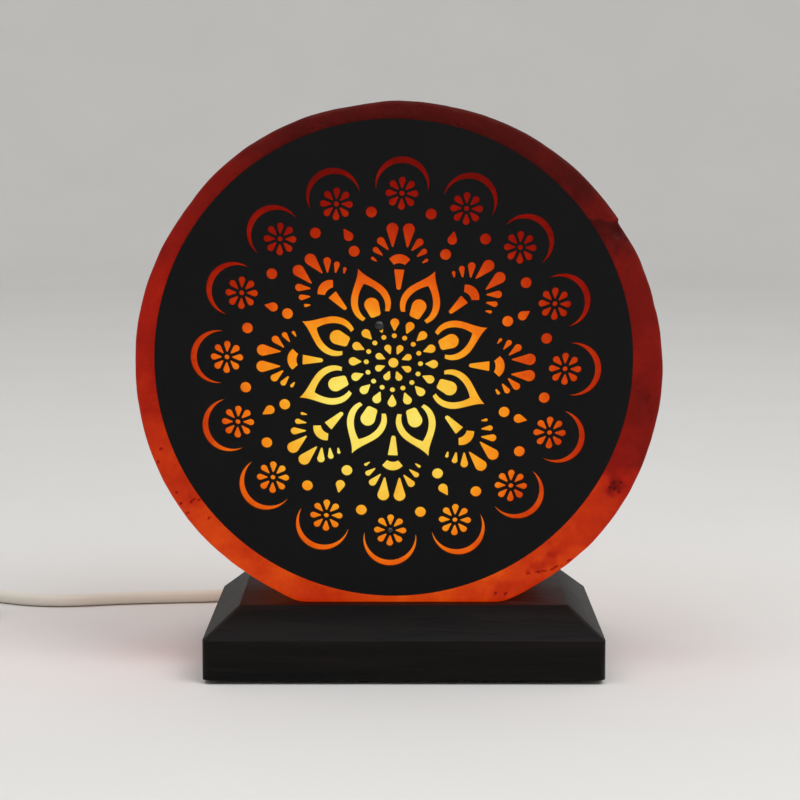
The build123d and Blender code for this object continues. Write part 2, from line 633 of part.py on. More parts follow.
def salt_plugs():
    plugs = []
    for x, y in salt_screw_places():
        plug = column(SALT_PLUG_RADIUS, BASE_TOP + SLIP, BASE_TOP + SALT_PLUG_LENGTH - SLIP, x, y)
        hole_end = BASE_TOP + SALT_SCREW_IN_SALT + SLIP
        plugs.append(plug - column(SALT_SCREW_RADIUS + FIT, BASE_TOP, hole_end, x, y))
    return plugs


# ---------------------------------------------------------------- lampholder

def holder_cap():
    cavity = HOLDER_CAP_RADIUS - HOLDER_CAP_WALL
    floor = HOLDER_BOTTOM + HOLDER_CAP_WALL
    return turned_on_z([
        (HOLDER_CAP_HOLE_RADIUS, HOLDER_BOTTOM),
        (HOLDER_CAP_RADIUS - HOLDER_CAP_CHAMFER, HOLDER_BOTTOM),
        (HOLDER_CAP_RADIUS, HOLDER_BOTTOM + HOLDER_CAP_CHAMFER),
        (HOLDER_CAP_RADIUS, HOLDER_FOOT),
        (cavity, HOLDER_FOOT),
        (cavity, floor),
        (HOLDER_CAP_HOLE_RADIUS, floor),
    ])


def side_strip_x():
    """The side contact stands in the gap between bulb cap and socket wall."""
    return -(BULB_CAP_RADIUS + SLIP + CONTACT_THICKNESS / 2)


def holder_body():
    spigot = HOLDER_CAP_RADIUS - HOLDER_CAP_WALL - RUNNING
    top = HOLDER_FOOT + HOLDER_BODY_HEIGHT
    body = turned_on_z([
        (0, TERMINAL_FACE), (spigot, TERMINAL_FACE), (spigot, HOLDER_FOOT),
        (HOLDER_BODY_RADIUS, HOLDER_FOOT), (HOLDER_BODY_RADIUS, top),
        (HOLDER_SOCKET_RADIUS, top), (HOLDER_SOCKET_RADIUS, SOCKET_FLOOR), (0, SOCKET_FLOOR),
    ])
    slot, width = CONTACT_THICKNESS / 2 + CONTACT_BEND, CONTACT_WIDTH / 2 + FIT
    for x in (CENTRE_RISER_X, side_strip_x()):
        body -= block((x - slot, -width, TERMINAL_FACE), (x + slot, width, SOCKET_FLOOR))
    for x in (CENTRE_SCREW_X, SIDE_SCREW_X):
        body -= column(TERMINAL_SCREW_RADIUS + FIT, TERMINAL_FACE, TERMINAL_FACE + TERMINAL_SCREW_LENGTH, x)
    pad, flat = HOLDER_BODY_RADIUS - CLIP_PAD, CLIP_WIDTH / 2 + SLIP
    for side in (1, -1):
        cut = block((pad, -flat, HOLDER_FOOT), (HOLDER_CAP_RADIUS, flat, top))
        body -= cut if side > 0 else mirror(cut, Plane.YZ)
        body -= clip_screw_hole(side)
    return body


def clip_screw_height():
    """Half way up the flat foot of a clip."""
    return HOLDER_FOOT + (CLIP_FOOT + CLIP_KNEE) / 2


def clip_screw_hole(side):
    middle = side * (HOLDER_BODY_RADIUS - CLIP_PAD - CLIP_SCREW_LENGTH / 2)
    hole = Rot(Y=90) * Cylinder(CLIP_SCREW_RADIUS + FIT, CLIP_SCREW_LENGTH)
    return Pos(middle, 0, clip_screw_height()) * hole


def spring_clips():
    """Two sprung strips that bow out to the bore's wall."""
    pad = HOLDER_BODY_RADIUS - CLIP_PAD + CLIP_THICKNESS / 2
    reach = math.sqrt(BORE_RADIUS**2 - (CLIP_WIDTH / 2) ** 2) - SLIP - CLIP_THICKNESS / 2
    points = [(pad, CLIP_FOOT), (pad, CLIP_KNEE), (reach, CLIP_ELBOW), (reach - CLIP_END_IN, CLIP_END)]
    clip = strip([(x, HOLDER_FOOT + z) for x, z in points], CLIP_BEND, CLIP_THICKNESS, CLIP_WIDTH)
    hole = Rot(Y=90) * Cylinder(CLIP_SCREW_RADIUS + FIT, 2 * CLIP_THICKNESS)
    clip -= Pos(pad, 0, clip_screw_height()) * hole
    return [clip, mirror(clip, Plane.YZ)]


def clip_screws():
    pad = HOLDER_BODY_RADIUS - CLIP_PAD
    head, tip = pad + CLIP_THICKNESS, pad - CLIP_SCREW_LENGTH + SLIP
    screw = turned_on_z([
        (0, tip), (CLIP_SCREW_RADIUS, tip), (CLIP_SCREW_RADIUS, head),
        (CLIP_SCREW_HEAD_RADIUS, head), (CLIP_SCREW_HEAD_RADIUS, head + CLIP_SCREW_HEAD_HEIGHT / 2),
        (CLIP_SCREW_HEAD_RADIUS / 2, head + CLIP_SCREW_HEAD_HEIGHT), (0, head + CLIP_SCREW_HEAD_HEIGHT),
    ])
    screw = Pos(0, 0, clip_screw_height()) * Rot(Y=90) * screw
    return [screw, mirror(screw, Plane.YZ)]


def screwed_foot(contact, screw_x):
    under = TERMINAL_FACE - CONTACT_THICKNESS
    return contact - column(TERMINAL_SCREW_RADIUS + FIT, under, TERMINAL_FACE, screw_x)


def centre_contact():
    """A foot under the holder's floor, a riser through it and a tongue bent back up to the bulb's tip."""
    half = CONTACT_THICKNESS / 2
    points = [
        (CENTRE_SCREW_X + TERMINAL_HEAD_RADIUS, TERMINAL_FACE - half), (CENTRE_RISER_X, TERMINAL_FACE - half),
        (CENTRE_RISER_X, SOCKET_FLOOR + half), (-CENTRE_RISER_X, SOCKET_FLOOR + half),
        (CENTRE_RISER_X / 2, SOCKET_FLOOR + half + CENTRE_TONGUE_RISE),
    ]
    return screwed_foot(strip(points, CONTACT_BEND, CONTACT_THICKNESS, CONTACT_WIDTH), CENTRE_SCREW_X)


def side_contact():
    """A foot under the holder's floor and a long riser along the socket's wall."""
    half = CONTACT_THICKNESS / 2
    x = side_strip_x()
    points = [
        (SIDE_SCREW_X + TERMINAL_HEAD_RADIUS, TERMINAL_FACE - half), (x, TERMINAL_FACE - half),
        (x, SOCKET_FLOOR + SIDE_CONTACT_TOP),
    ]
    return screwed_foot(strip(points, CONTACT_BEND, CONTACT_THICKNESS, CONTACT_WIDTH), SIDE_SCREW_X)


def terminal_screws():
    under = TERMINAL_FACE - CONTACT_THICKNESS
    screws = []
    for x in (CENTRE_SCREW_X, SIDE_SCREW_X):
        shank = column(TERMINAL_SCREW_RADIUS, under, TERMINAL_FACE + TERMINAL_SCREW_LENGTH - SLIP, x)
        screws.append(shank + column(TERMINAL_HEAD_RADIUS, under - TERMINAL_HEAD_HEIGHT, under, x))
    return screws


# ---------------------------------------------------------------- bulb

def bulb_outline(shrink):
    """The glass's outline as a face: neck, swelling shoulder, straight side and round top."""
    neck, side = BULB_NECK_RADIUS - shrink, BULB_RADIUS - shrink
    low = BULB_CAP_TOP - BULB_GLASS_IN_CAP - (SLIP if shrink else 0)
    neck_top, shoulder = BULB_TIP + BULB_NECK_TOP, BULB_TIP + BULB_SHOULDER
    dome = BULB_TIP + BULB_LENGTH - BULB_RADIUS
    quarter = math.sqrt(0.5) * side
    return make_face([
        Edge.make_line((0, low), (neck, low)),
        Edge.make_line((neck, low), (neck, neck_top)),
        Edge.make_spline([(neck, neck_top), (side, shoulder)], tangents=[(0, 1), (0, 1)]),
        Edge.make_line((side, shoulder), (side, dome)),
        Edge.make_three_point_arc((side, dome), (quarter, dome + quarter), (0, dome + side)),
        Edge.make_line((0, dome + side), (0, low)),
    ])


def bulb_glass():
    outside = revolve(Plane.XZ * bulb_outline(0), Axis.Z)
    return outside - revolve(Plane.XZ * bulb_outline(BULB_WALL), Axis.Z)


def bulb_cap():
    """A thin screw shell: rounded thread rings below a plain rim."""
    crest, root = BULB_CAP_RADIUS, BULB_CAP_RADIUS - BULB_THREAD_DEPTH
    outside = [(root, BULB_CAP_FOOT)]
    for k in range(BULB_THREAD_TURNS):
        low = BULB_CAP_FOOT + BULB_THREAD_START + k * BULB_THREAD_PITCH
        high = low + 2 * BULB_THREAD_FLANK + BULB_THREAD_CREST
        flanks = (low + BULB_THREAD_FLANK, high - BULB_THREAD_FLANK)
        outside += [(root, low), (crest, flanks[0]), (crest, flanks[1]), (root, high)]
    outside.append((root, BULB_CAP_TOP))
    inside = [(r - BULB_CAP_WALL, z) for r, z in reversed(outside)]
    return turned_on_z(outside + inside)


def bulb_insulator():
    rim, low = BULB_CAP_RADIUS - BULB_THREAD_DEPTH, BULB_TIP + BULB_TIP_HEIGHT
    return turned_on_z([(0, low), (BULB_TIP_RADIUS, low), (rim, BULB_CAP_FOOT), (0, BULB_CAP_FOOT)])


def bulb_tip_contact():
    return turned_on_z([
        (0, BULB_TIP), (BULB_TIP_RADIUS / 2, BULB_TIP), (BULB_TIP_RADIUS, BULB_TIP + BULB_TIP_HEIGHT / 2),
        (BULB_TIP_RADIUS, BULB_TIP + BULB_TIP_HEIGHT), (0, BULB_TIP + BULB_TIP_HEIGHT),
    ])


def bulb_stem():
    """The flared glass foot inside the bulb that carries the wires."""
    low = BULB_CAP_TOP - BULB_GLASS_IN_CAP
    return turned_on_z([
        (0, low), (STEM_FLARE_RADIUS, low), (GLASS_STEM_RADIUS, low + STEM_FLARE_HEIGHT),
        (GLASS_STEM_RADIUS, low + GLASS_STEM_HEIGHT), (0, low + GLASS_STEM_HEIGHT),
    ])


def filament_ends():
    height = BULB_TIP + FILAMENT_HEIGHT
    return [(-FILAMENT_HALF_SPAN, 0, height), (0, FILAMENT_BOW, height), (FILAMENT_HALF_SPAN, 0, height)]


def support_wires():
    foot = BULB_CAP_TOP - BULB_GLASS_IN_CAP + GLASS_STEM_HEIGHT + SUPPORT_WIRE_RADIUS
    wires = []
    for (x, y, z), sx, sy in zip(filament_ends(), (-1, 0, 1), (0, 1, 0)):
        start = (sx * SUPPORT_SPREAD, sy * SUPPORT_SPREAD, foot)
        end = (x, y, z - FILAMENT_RADIUS - SUPPORT_WIRE_RADIUS)
        wires.append(tube(Line(start, end), SUPPORT_WIRE_RADIUS))
    return wires


def bulb_filament():
    return tube(ThreePointArc(*filament_ends()), FILAMENT_RADIUS)


# ---------------------------------------------------------------- lead in the base and its strain relief

def lead_relief():
    """A moulded strain relief: a barrel in the base's hole, a collar on its back and a grooved tail."""
    back = BASE_BACK
    collar = back + RELIEF_COLLAR
    tail = tapered_tail(RELIEF_TAIL, RELIEF_ROOT_RADIUS, RELIEF_END_RADIUS)
    barrel = LEAD_HOLE_RADIUS - RUNNING
    outline = [(0, back - RELIEF_BARREL), (barrel, back - RELIEF_BARREL), (barrel, back)]
    outline += [(RELIEF_COLLAR_RADIUS, back), (RELIEF_COLLAR_RADIUS, collar)]
    outline += [(r, collar + y) for r, y in tail] + [(0, collar + RELIEF_TAIL)]
    return Pos(0, 0, LEAD_HEIGHT) * turned_on_y(outline)


def inner_lead():
    return rod(LEAD_RADIUS, LEAD_SHEATH_END, BASE_BACK - RELIEF_BARREL, 0, LEAD_HEIGHT)


def inner_cores():
    """Two cores from the sheath's end up through the holder's cap to under the terminal screws."""
    under_head = TERMINAL_FACE - CONTACT_THICKNESS - TERMINAL_HEAD_HEIGHT - CORE_RADIUS - FIT
    cores = []
    ends = (CENTRE_SCREW_X + CORE_STRIP, SIDE_SCREW_X - CORE_STRIP)
    for x, end in zip((CORE_SPREAD, -CORE_SPREAD), ends):
        level = [(x, LEAD_SHEATH_END, LEAD_HEIGHT), (x, 0, LEAD_HEIGHT)]
        points = level + [(x, 0, under_head), (end, 0, under_head)]
        cores.append(tube(FilletPolyline(*points, radius=CORE_BEND), CORE_RADIUS))
    return cores


# ---------------------------------------------------------------- coil and its tie

def coil_path():
    """Half turns that spiral in by half a pitch each, one that climbs a layer, and as many back out.

    Each flat half turn is a half circle. The climbing one is two tangent arcs that meet at half height,
    as far forward as the root of its radius squared plus the half rise squared."""
    start = (COIL_X - COIL_RADIUS, COIL_Y, COIL_HEIGHT)
    edges = [Line((start[0], start[1] + COIL_STUB, start[2]), start)]
    x, side, layer = start[0], 1, COIL_HEIGHT
    radii = [COIL_RADIUS - k * COIL_PITCH / 2 for k in range(COIL_HALF_TURNS)]
    for radius in radii:
        edges.append(ThreePointArc((x, COIL_Y, layer), (x + side * radius, COIL_Y - side * radius, layer),
                                   (x + 2 * side * radius, COIL_Y, layer)))
        x, side = x + 2 * side * radius, -side
    radius = COIL_RADIUS - COIL_HALF_TURNS * COIL_PITCH / 2
    reach = math.hypot(radius, COIL_PITCH / 2)
    middle = (x + side * radius, COIL_Y - side * reach, layer + COIL_PITCH / 2)
    upper = layer + COIL_PITCH
    climb = TangentArc((x, COIL_Y, layer), middle, tangent=(0, -side, 0))
    edges += [climb, TangentArc(middle, (x + 2 * side * radius, COIL_Y, upper), tangent=climb % 1)]
    x, side = x + 2 * side * radius, -side
    for radius in reversed(radii):
        edges.append(ThreePointArc((x, COIL_Y, upper), (x + side * radius, COIL_Y - side * radius, upper),
                                   (x + 2 * side * radius, COIL_Y, upper)))
        x, side = x + 2 * side * radius, -side
    edges.append(Line((x, COIL_Y, upper), (x, COIL_Y - side * COIL_STUB, upper)))
    return edges


def least_gap(edges):
    """The least clear distance between stretches of a coil that aren't next to each other along it."""
    points, walked = [], 0.0
    for edge in edges:
        count = max(2, int(edge.length / GAP_STEP))
        points += [(tuple(edge @ (k / count)), walked + edge.length * k / count) for k in range(count)]
        walked += edge.length
    return min(math.dist(a, b) for a, s in points for b, t in points if t - s > GAP_APART) - 2 * LEAD_RADIUS


def lead_coil():
    edges = coil_path()
    path = Wire(edges)
    solid = tube(path, LEAD_RADIUS)
    share = solid.volume / (math.pi * LEAD_RADIUS**2 * path.length)
    print(f"lead_coil: length {path.length:.1f} mm, volume share {share:.4f}")
    print(f"  least gap to itself {least_gap(edges):.2f} mm")
    return solid


def coil_tie():
    """A band round the bundle of turns, on the side away from the climb."""
    outer = COIL_Y + COIL_RADIUS - COIL_PITCH / 2 + LEAD_RADIUS + TIE_ROOM
    inner = COIL_Y + COIL_RADIUS - (COIL_HALF_TURNS - 1) * COIL_PITCH / 2 - LEAD_RADIUS - TIE_ROOM_INSIDE
    low = COIL_HEIGHT - LEAD_RADIUS - TIE_ROOM
    high = COIL_HEIGHT + COIL_PITCH + LEAD_RADIUS + TIE_ROOM
    hole = RectangleRounded(outer - inner, high - low, LEAD_RADIUS)
    across, up = outer - inner + 2 * TIE_THICKNESS, high - low + 2 * TIE_THICKNESS
    band = RectangleRounded(across, up, LEAD_RADIUS + TIE_THICKNESS)
    ring = extrude(Plane.YZ * (band - hole), TIE_WIDTH / 2, both=True)
    return Pos(COIL_X, (outer + inner) / 2, (low + high) / 2) * ring


# ---------------------------------------------------------------- inline switch, about its own middle

def at_switch(shape):
    return Pos(SWITCH_X, SWITCH_Y, 0) * shape


def switch_shell(inset, low, high):
    width, length = SWITCH_WIDTH - 2 * inset, SWITCH_LENGTH - 2 * inset
    outline = RectangleRounded(width, length, SWITCH_CORNER - inset)
    return Pos(0, 0, low) * extrude(outline, high - low)


def switch_mouths():
    half = SWITCH_LENGTH / 2
    return [rod(SWITCH_MOUTH_RADIUS, half - 2 * SWITCH_WALL, half, 0, SWITCH_SPLIT),
            rod(SWITCH_MOUTH_RADIUS, -half, 2 * SWITCH_WALL - half, 0, SWITCH_SPLIT)]


def switch_screw_places():
    return [(SWITCH_SCREW_X, SWITCH_SCREW_Y), (SWITCH_SCREW_X, -SWITCH_SCREW_Y)]


def switch_lower_housing():
    shell = switch_shell(0, 0, SWITCH_SPLIT)
    shell = fillet(shell.faces().sort_by(Axis.Z)[0].edges(), SWITCH_EDGE_ROUND / 2)
    shell -= switch_shell(SWITCH_WALL, SWITCH_WALL, SWITCH_SPLIT)
    for x, y in switch_screw_places():
        shell += column(SWITCH_BOSS_RADIUS, SWITCH_WALL, SWITCH_SPLIT, x, y)
        shell -= column(SWITCH_SCREW_RADIUS + RUNNING, 0, SWITCH_SPLIT, x, y)
        shell -= column(SWITCH_SCREW_HEAD_RADIUS + RUNNING, 0, SWITCH_SCREW_HEAD_HEIGHT + SLIP, x, y)
    for mouth in switch_mouths():
        shell -= mouth
    return at_switch(shell)


def rocker_reach():
    """The furthest that the rocker's ends sweep from its pivot."""
    return math.hypot(ROCKER_LENGTH / 2, ROCKER_RISE)


def switch_upper_housing():
    shell = switch_shell(0, SWITCH_SPLIT, SWITCH_HEIGHT)
    shell = fillet(shell.faces().sort_by(Axis.Z)[-1].edges(), SWITCH_EDGE_ROUND)
    shell -= switch_shell(SWITCH_WALL, SWITCH_SPLIT, SWITCH_HEIGHT - SWITCH_WALL)
    ceiling = SWITCH_HEIGHT - SWITCH_WALL
    for x, y in switch_screw_places():
        shell += column(SWITCH_BOSS_RADIUS, SWITCH_SPLIT, ceiling, x, y)
        shell -= column(SWITCH_SCREW_RADIUS + FIT, SWITCH_SPLIT, SWITCH_SCREW_LENGTH + SLIP, x, y)
    ear = ROCKER_WIDTH / 2 + ROCKER_GAP
    for side in (1, -1):
        low, high = sorted((side * ear, side * (ear + EAR_THICKNESS)))
        shell += block((low, -EAR_HALF_LENGTH, ROCKER_PIVOT - EAR_DROP), (high, EAR_HALF_LENGTH, ceiling))
    bearing = Rot(Y=90) * Cylinder(ROCKER_STUB_RADIUS + RUNNING, 2 * (ear + EAR_THICKNESS))
    shell -= Pos(0, 0, ROCKER_PIVOT) * bearing
    window = rocker_reach() + ROCKER_GAP
    shell -= block((-ear, -window, ceiling), (ear, window, SWITCH_HEIGHT))
    for mouth in switch_mouths():
        shell -= mouth
    return at_switch(shell)


def switch_rocker():
    """Dished on top, with round stubs at its sides and a keel for the bridge, tilted to its ON end."""
    half = ROCKER_LENGTH / 2
    shoulder = ROCKER_RISE - ROCKER_SIDE
    left = [(-half, ROCKER_RISE), (-half, shoulder), (-half / 2, -ROCKER_KEEL)]
    right = [(-y, z) for y, z in reversed(left)]
    outline = Polygon(*left, *right, (0, ROCKER_RISE - ROCKER_DISH), align=None)
    rocker = extrude(Plane.YZ * outline, ROCKER_WIDTH / 2, both=True)
    rocker += Rot(Y=90) * Cylinder(ROCKER_STUB_RADIUS, ROCKER_WIDTH + 2 * ROCKER_STUB_LENGTH)
    return at_switch(Pos(0, 0, ROCKER_PIVOT) * Rot(X=ROCKER_TILT) * rocker)


def switch_bridge():
    """The contact that tilts with the rocker."""
    bridge = Box(BRIDGE_WIDTH, BRIDGE_LENGTH, BRIDGE_THICKNESS)
    under_keel = Pos(0, 0, -ROCKER_KEEL - BRIDGE_THICKNESS / 2) * bridge
    return at_switch(Pos(0, 0, ROCKER_PIVOT) * Rot(X=ROCKER_TILT) * under_keel)


def bridge_height(y):
    """The bridge's underside at a place along the switch, at its lowest over the rocker's travel."""
    tilt = math.radians(ROCKER_TILT)
    return ROCKER_PIVOT - (ROCKER_KEEL + BRIDGE_THICKNESS) / math.cos(tilt) - abs(y) * math.tan(tilt)


def switch_contacts():
    """Fixed contacts, one under the bridge's middle and one under its ON end, each on a foot for its core."""
    foot, thick = SWITCH_WALL, FIXED_CONTACT_THICKNESS
    end = BRIDGE_LENGTH / 2
    contacts = []
    middle = (-MIDDLE_CONTACT_HALF, MIDDLE_CONTACT_HALF, 1)
    for near, far, sign in (middle, (end - END_CONTACT_LENGTH, end, -1)):
        top = bridge_height(far) - SLIP
        low, high = sorted((sign * near, sign * far))
        leg_low, leg_high = sorted((sign * far, sign * (far - thick)))
        width = FIXED_CONTACT_WIDTH / 2
        contact = block((-width, low, top - thick), (width, high, top))
        contact += block((-width, leg_low, foot), (width, leg_high, top))
        run_low, run_high = sorted((sign * (far - thick), sign * FIXED_CONTACT_REACH))
        contact += block((-width, run_low, foot), (width, run_high, foot + thick))
        contacts.append(at_switch(contact))
    return contacts


def switch_cores():
    """Two cores from the strain reliefs down to the contacts' feet and one that passes straight through."""
    inner = SWITCH_LENGTH / 2 - SWITCH_WALL - SWITCH_RELIEF_FLANGE
    rest = SWITCH_WALL + FIXED_CONTACT_THICKNESS + CORE_RADIUS + FIT
    cores = []
    for side in (1, -1):
        points = [
            (CORE_SPREAD, side * inner, SWITCH_SPLIT),
            (CORE_SPREAD, side * (inner - CORE_RUN), SWITCH_SPLIT),
            (CORE_SPREAD, side * FIXED_CONTACT_REACH, rest),
            (CORE_SPREAD, side * (FIXED_CONTACT_REACH - CORE_ON_FOOT), rest),
        ]
        cores.append(at_switch(tube(FilletPolyline(*points, radius=CORE_BEND), CORE_RADIUS)))
    bypass = [
        (-CORE_SPREAD, inner, SWITCH_SPLIT),
        (-CORE_SPREAD, inner - CORE_RUN, SWITCH_SPLIT),
        (BYPASS_X, inner - BYPASS_SWING, BYPASS_HEIGHT),
        (BYPASS_X, BYPASS_SWING - inner, BYPASS_HEIGHT),
        (-CORE_SPREAD, CORE_RUN - inner, SWITCH_SPLIT),
        (-CORE_SPREAD, -inner, SWITCH_SPLIT),
    ]
    cores.append(at_switch(tube(FilletPolyline(*bypass, radius=CORE_BEND), CORE_RADIUS)))
    return cores


def switch_screws():
    screws = []
    for x, y in switch_screw_places():
        head = column(SWITCH_SCREW_HEAD_RADIUS, SLIP, SWITCH_SCREW_HEAD_HEIGHT + SLIP, x, y)
        screws.append(at_switch(head + column(SWITCH_SCREW_RADIUS, SLIP, SWITCH_SCREW_LENGTH, x, y)))
    return screws


def switch_reliefs():
    """A grooved tail outside each end wall, a neck through it and a flange inside."""
    half = SWITCH_LENGTH / 2
    neck = SWITCH_MOUTH_RADIUS - RUNNING
    inner = half - SWITCH_WALL - SWITCH_RELIEF_FLANGE
    tail = tapered_tail(SWITCH_RELIEF_TAIL, RELIEF_ROOT_RADIUS, RELIEF_END_RADIUS)
    wall = half - SWITCH_WALL
    outline = [(0, inner), (SWITCH_RELIEF_FLANGE_RADIUS, inner), (SWITCH_RELIEF_FLANGE_RADIUS, wall)]
    outline += [(neck, wall), (neck, half)]
    outline += [(r, half + y) for r, y in tail] + [(0, half + SWITCH_RELIEF_TAIL)]
    relief = Pos(0, 0, SWITCH_SPLIT) * turned_on_y(outline)
    return [at_switch(relief), at_switch(mirror(relief, Plane.XZ))]


# ---------------------------------------------------------------- plug

def at_plug(shape):
    return Pos(PLUG_X, PLUG_Y, PLUG_THICKNESS / 2) * shape


def pin_places():
    return [PIN_SPACING / 2, -PIN_SPACING / 2]


def plug_body():
    side, rear = PLUG_WIDTH / 2, PLUG_REAR_WIDTH / 2
    shoulder = PLUG_LENGTH - PLUG_HEAD
    right = [(rear, 0), (side, shoulder), (side, PLUG_LENGTH)]
    left = [(-x, y) for x, y in reversed(right)]
    outline = Polygon(*right, *left, align=None)
    body = extrude(outline, PLUG_THICKNESS / 2, both=True)
    body = fillet(body.edges().filter_by(Axis.Z), PLUG_ROUND)
    body = fillet(body.faces().filter_by(Axis.Z).edges(), PLUG_ROUND)
    for x in pin_places():
        body -= rod(PLUG_PIN_CORE_RADIUS + FIT, PLUG_LENGTH - PLUG_PIN_ROOT - SLIP, PLUG_LENGTH, x)
    return at_plug(body)


def plug_relief():
    tail = [(r, -y) for r, y in tapered_tail(PLUG_RELIEF_TAIL, PLUG_RELIEF_ROOT_RADIUS, RELIEF_END_RADIUS)]
    return at_plug(turned_on_y([(0, 0)] + tail + [(0, -PLUG_RELIEF_TAIL)]))


def plug_pins():
    pins = []
    full, core = PLUG_PIN_RADIUS, PLUG_PIN_CORE_RADIUS
    root, tip = PLUG_LENGTH - PLUG_PIN_ROOT, PLUG_LENGTH + PLUG_PIN_LENGTH
    sleeve_end = PLUG_LENGTH + PLUG_PIN_SLEEVE
    for x in pin_places():
        pin = turned_on_y([
            (0, root), (core, root), (core, sleeve_end), (full, sleeve_end),
            (full, tip - PLUG_PIN_TIP), (full - PLUG_PIN_TIP, tip), (0, tip),
        ])
        pins.append(at_plug(Pos(x, 0, 0) * pin))
    return pins


def plug_pin_sleeves():
    sleeves = []
    end = PLUG_LENGTH + PLUG_PIN_SLEEVE
    for x in pin_places():
        sleeve = rod(PLUG_PIN_RADIUS, PLUG_LENGTH, end, x)
        sleeves.append(at_plug(sleeve - rod(PLUG_PIN_CORE_RADIUS + FIT, PLUG_LENGTH, end, x)))
    return sleeves


# ---------------------------------------------------------------- the pieces

save("salt_disc", salt_disc())
save("pattern_plate", pattern_plate())
save("plate_pins", *plate_pins())
save("plate_pin_plugs", *pin_plugs())
save("wooden_base", wooden_base())
save("base_feet", *base_feet())
save("salt_screws", *salt_screws())
save("salt_screw_plugs", *salt_plugs())
save("holder_cap", holder_cap())
save("holder_body", holder_body())
save("holder_spring_clips", *spring_clips())
save("holder_clip_screws", *clip_screws())
save("holder_centre_contact", centre_contact())
save("holder_side_contact", side_contact())
save("holder_terminal_screws", *terminal_screws())
save("bulb_glass", bulb_glass())
save("bulb_screw_cap", bulb_cap())
save("bulb_insulator", bulb_insulator())
save("bulb_tip_contact", bulb_tip_contact())
save("bulb_glass_stem", bulb_stem())
save("bulb_support_wires", *support_wires())
save("bulb_filament", bulb_filament())
save("lead_strain_relief", lead_relief())
save("inner_lead", inner_lead())
save("inner_lead_cores", *inner_cores())
save("lead_to_switch", lead_tube("lead_to_switch", LEAD_TO_SWITCH))
save("lead_to_coil", lead_tube("lead_to_coil", LEAD_TO_COIL))
save("lead_coil", lead_coil())
save("coil_tie", coil_tie())
save("lead_to_plug", lead_tube("lead_to_plug", LEAD_TO_PLUG))
save("switch_lower_housing", switch_lower_housing())
save("switch_upper_housing", switch_upper_housing())
save("switch_rocker", switch_rocker())
save("switch_bridge", switch_bridge())
save("switch_contacts", *switch_contacts())
save("switch_cores", *switch_cores())
save("switch_screws", *switch_screws())
save("switch_strain_reliefs", *switch_reliefs())
save("plug_body", plug_body())
save("plug_strain_relief", plug_relief())
save("plug_pins", *plug_pins())
save("plug_pin_sleeves", *plug_pin_sleeves())
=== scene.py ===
"""Finish of the salt crystal lamp: lit salt, powder-coated pattern plate, stained base, white lead.

Metres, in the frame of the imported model; names ending in _MM are millimetres. Each function says in its
docstring how its surface or colour is worked out."""

import functools
import itertools
import json
import math

import bmesh
import bpy
import numpy as np
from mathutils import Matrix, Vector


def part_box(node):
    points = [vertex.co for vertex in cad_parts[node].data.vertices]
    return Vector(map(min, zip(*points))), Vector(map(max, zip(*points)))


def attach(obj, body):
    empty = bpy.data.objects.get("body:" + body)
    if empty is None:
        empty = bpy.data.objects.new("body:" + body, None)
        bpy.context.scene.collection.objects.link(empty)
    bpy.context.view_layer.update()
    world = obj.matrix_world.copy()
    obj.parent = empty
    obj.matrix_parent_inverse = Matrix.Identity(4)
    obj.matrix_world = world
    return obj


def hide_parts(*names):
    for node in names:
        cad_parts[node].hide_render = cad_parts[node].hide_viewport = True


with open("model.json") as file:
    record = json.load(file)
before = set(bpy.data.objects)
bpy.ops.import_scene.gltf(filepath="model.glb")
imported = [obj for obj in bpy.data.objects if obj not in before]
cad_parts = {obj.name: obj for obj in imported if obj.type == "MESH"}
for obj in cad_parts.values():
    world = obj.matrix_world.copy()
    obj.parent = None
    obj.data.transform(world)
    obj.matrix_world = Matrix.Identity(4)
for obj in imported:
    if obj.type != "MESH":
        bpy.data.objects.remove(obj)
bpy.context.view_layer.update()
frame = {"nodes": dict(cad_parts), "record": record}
nodes = frame["nodes"]

MM = 0.001

# ---------------------------------------------------------------- driving values

# the photograph's camera
CAMERA_PLACE_MM = (2.6, -862.2, 181.2)
CAMERA_DOWN = 5.93           # degrees below the horizon
CAMERA_TURN = 0.135          # degrees to the left
CAMERA_LENS = 109.2          # millimetres, on a sensor 36 mm wide
SENSOR_WIDTH = 36.0

# the lead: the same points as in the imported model
LEAD_DIAMETER = 0.005
LEAD_TO_SWITCH = [
    (0.0, 0.076, 0.0095), (0.0, 0.0865, 0.0095), (-0.0046, 0.0971, 0.0087), (-0.0132, 0.1051, 0.0072),
    (-0.0252, 0.1089, 0.0054), (-0.041, 0.1073, 0.0038), (-0.058, 0.1017, 0.0027),
    (-0.077, 0.0969, 0.0026), (-0.097, 0.0949, 0.0026), (-0.115, 0.0917, 0.0026),
    (-0.131, 0.0871, 0.0026), (-0.145, 0.0883, 0.0026), (-0.158, 0.0951, 0.0026),
    (-0.171, 0.1031, 0.0026), (-0.1835, 0.1081, 0.0026), (-0.196, 0.1079, 0.0026),
    (-0.2074, 0.1027, 0.0032), (-0.2159, 0.0937, 0.005), (-0.2204, 0.082, 0.0068),
    (-0.2204, 0.0695, 0.0068),
]
LEAD_TO_COIL = [
    (-0.2204, -0.0245, 0.0068), (-0.2204, -0.0315, 0.0068), (-0.2204, -0.0435, 0.00375),
    (-0.2204, -0.0505, 0.00375),
]
LEAD_TO_PLUG = [
    (-0.1516, -0.0505, 0.00925), (-0.1516, -0.0395, 0.00925), (-0.1544, -0.0289, 0.0079),
    (-0.1599, -0.0194, 0.0056), (-0.1676, -0.0116, 0.004), (-0.1731, -0.0021, 0.0046),
    (-0.176, 0.0085, 0.00685), (-0.176, 0.0195, 0.00685),
]
COIL_X, COIL_Y = -0.186, -0.0555
COIL_RADIUS = 0.0344
COIL_PITCH = 0.0055
COIL_HEIGHT = 0.00375
COIL_HALF_TURNS = 6
COIL_POINTS = 12             # in a half turn
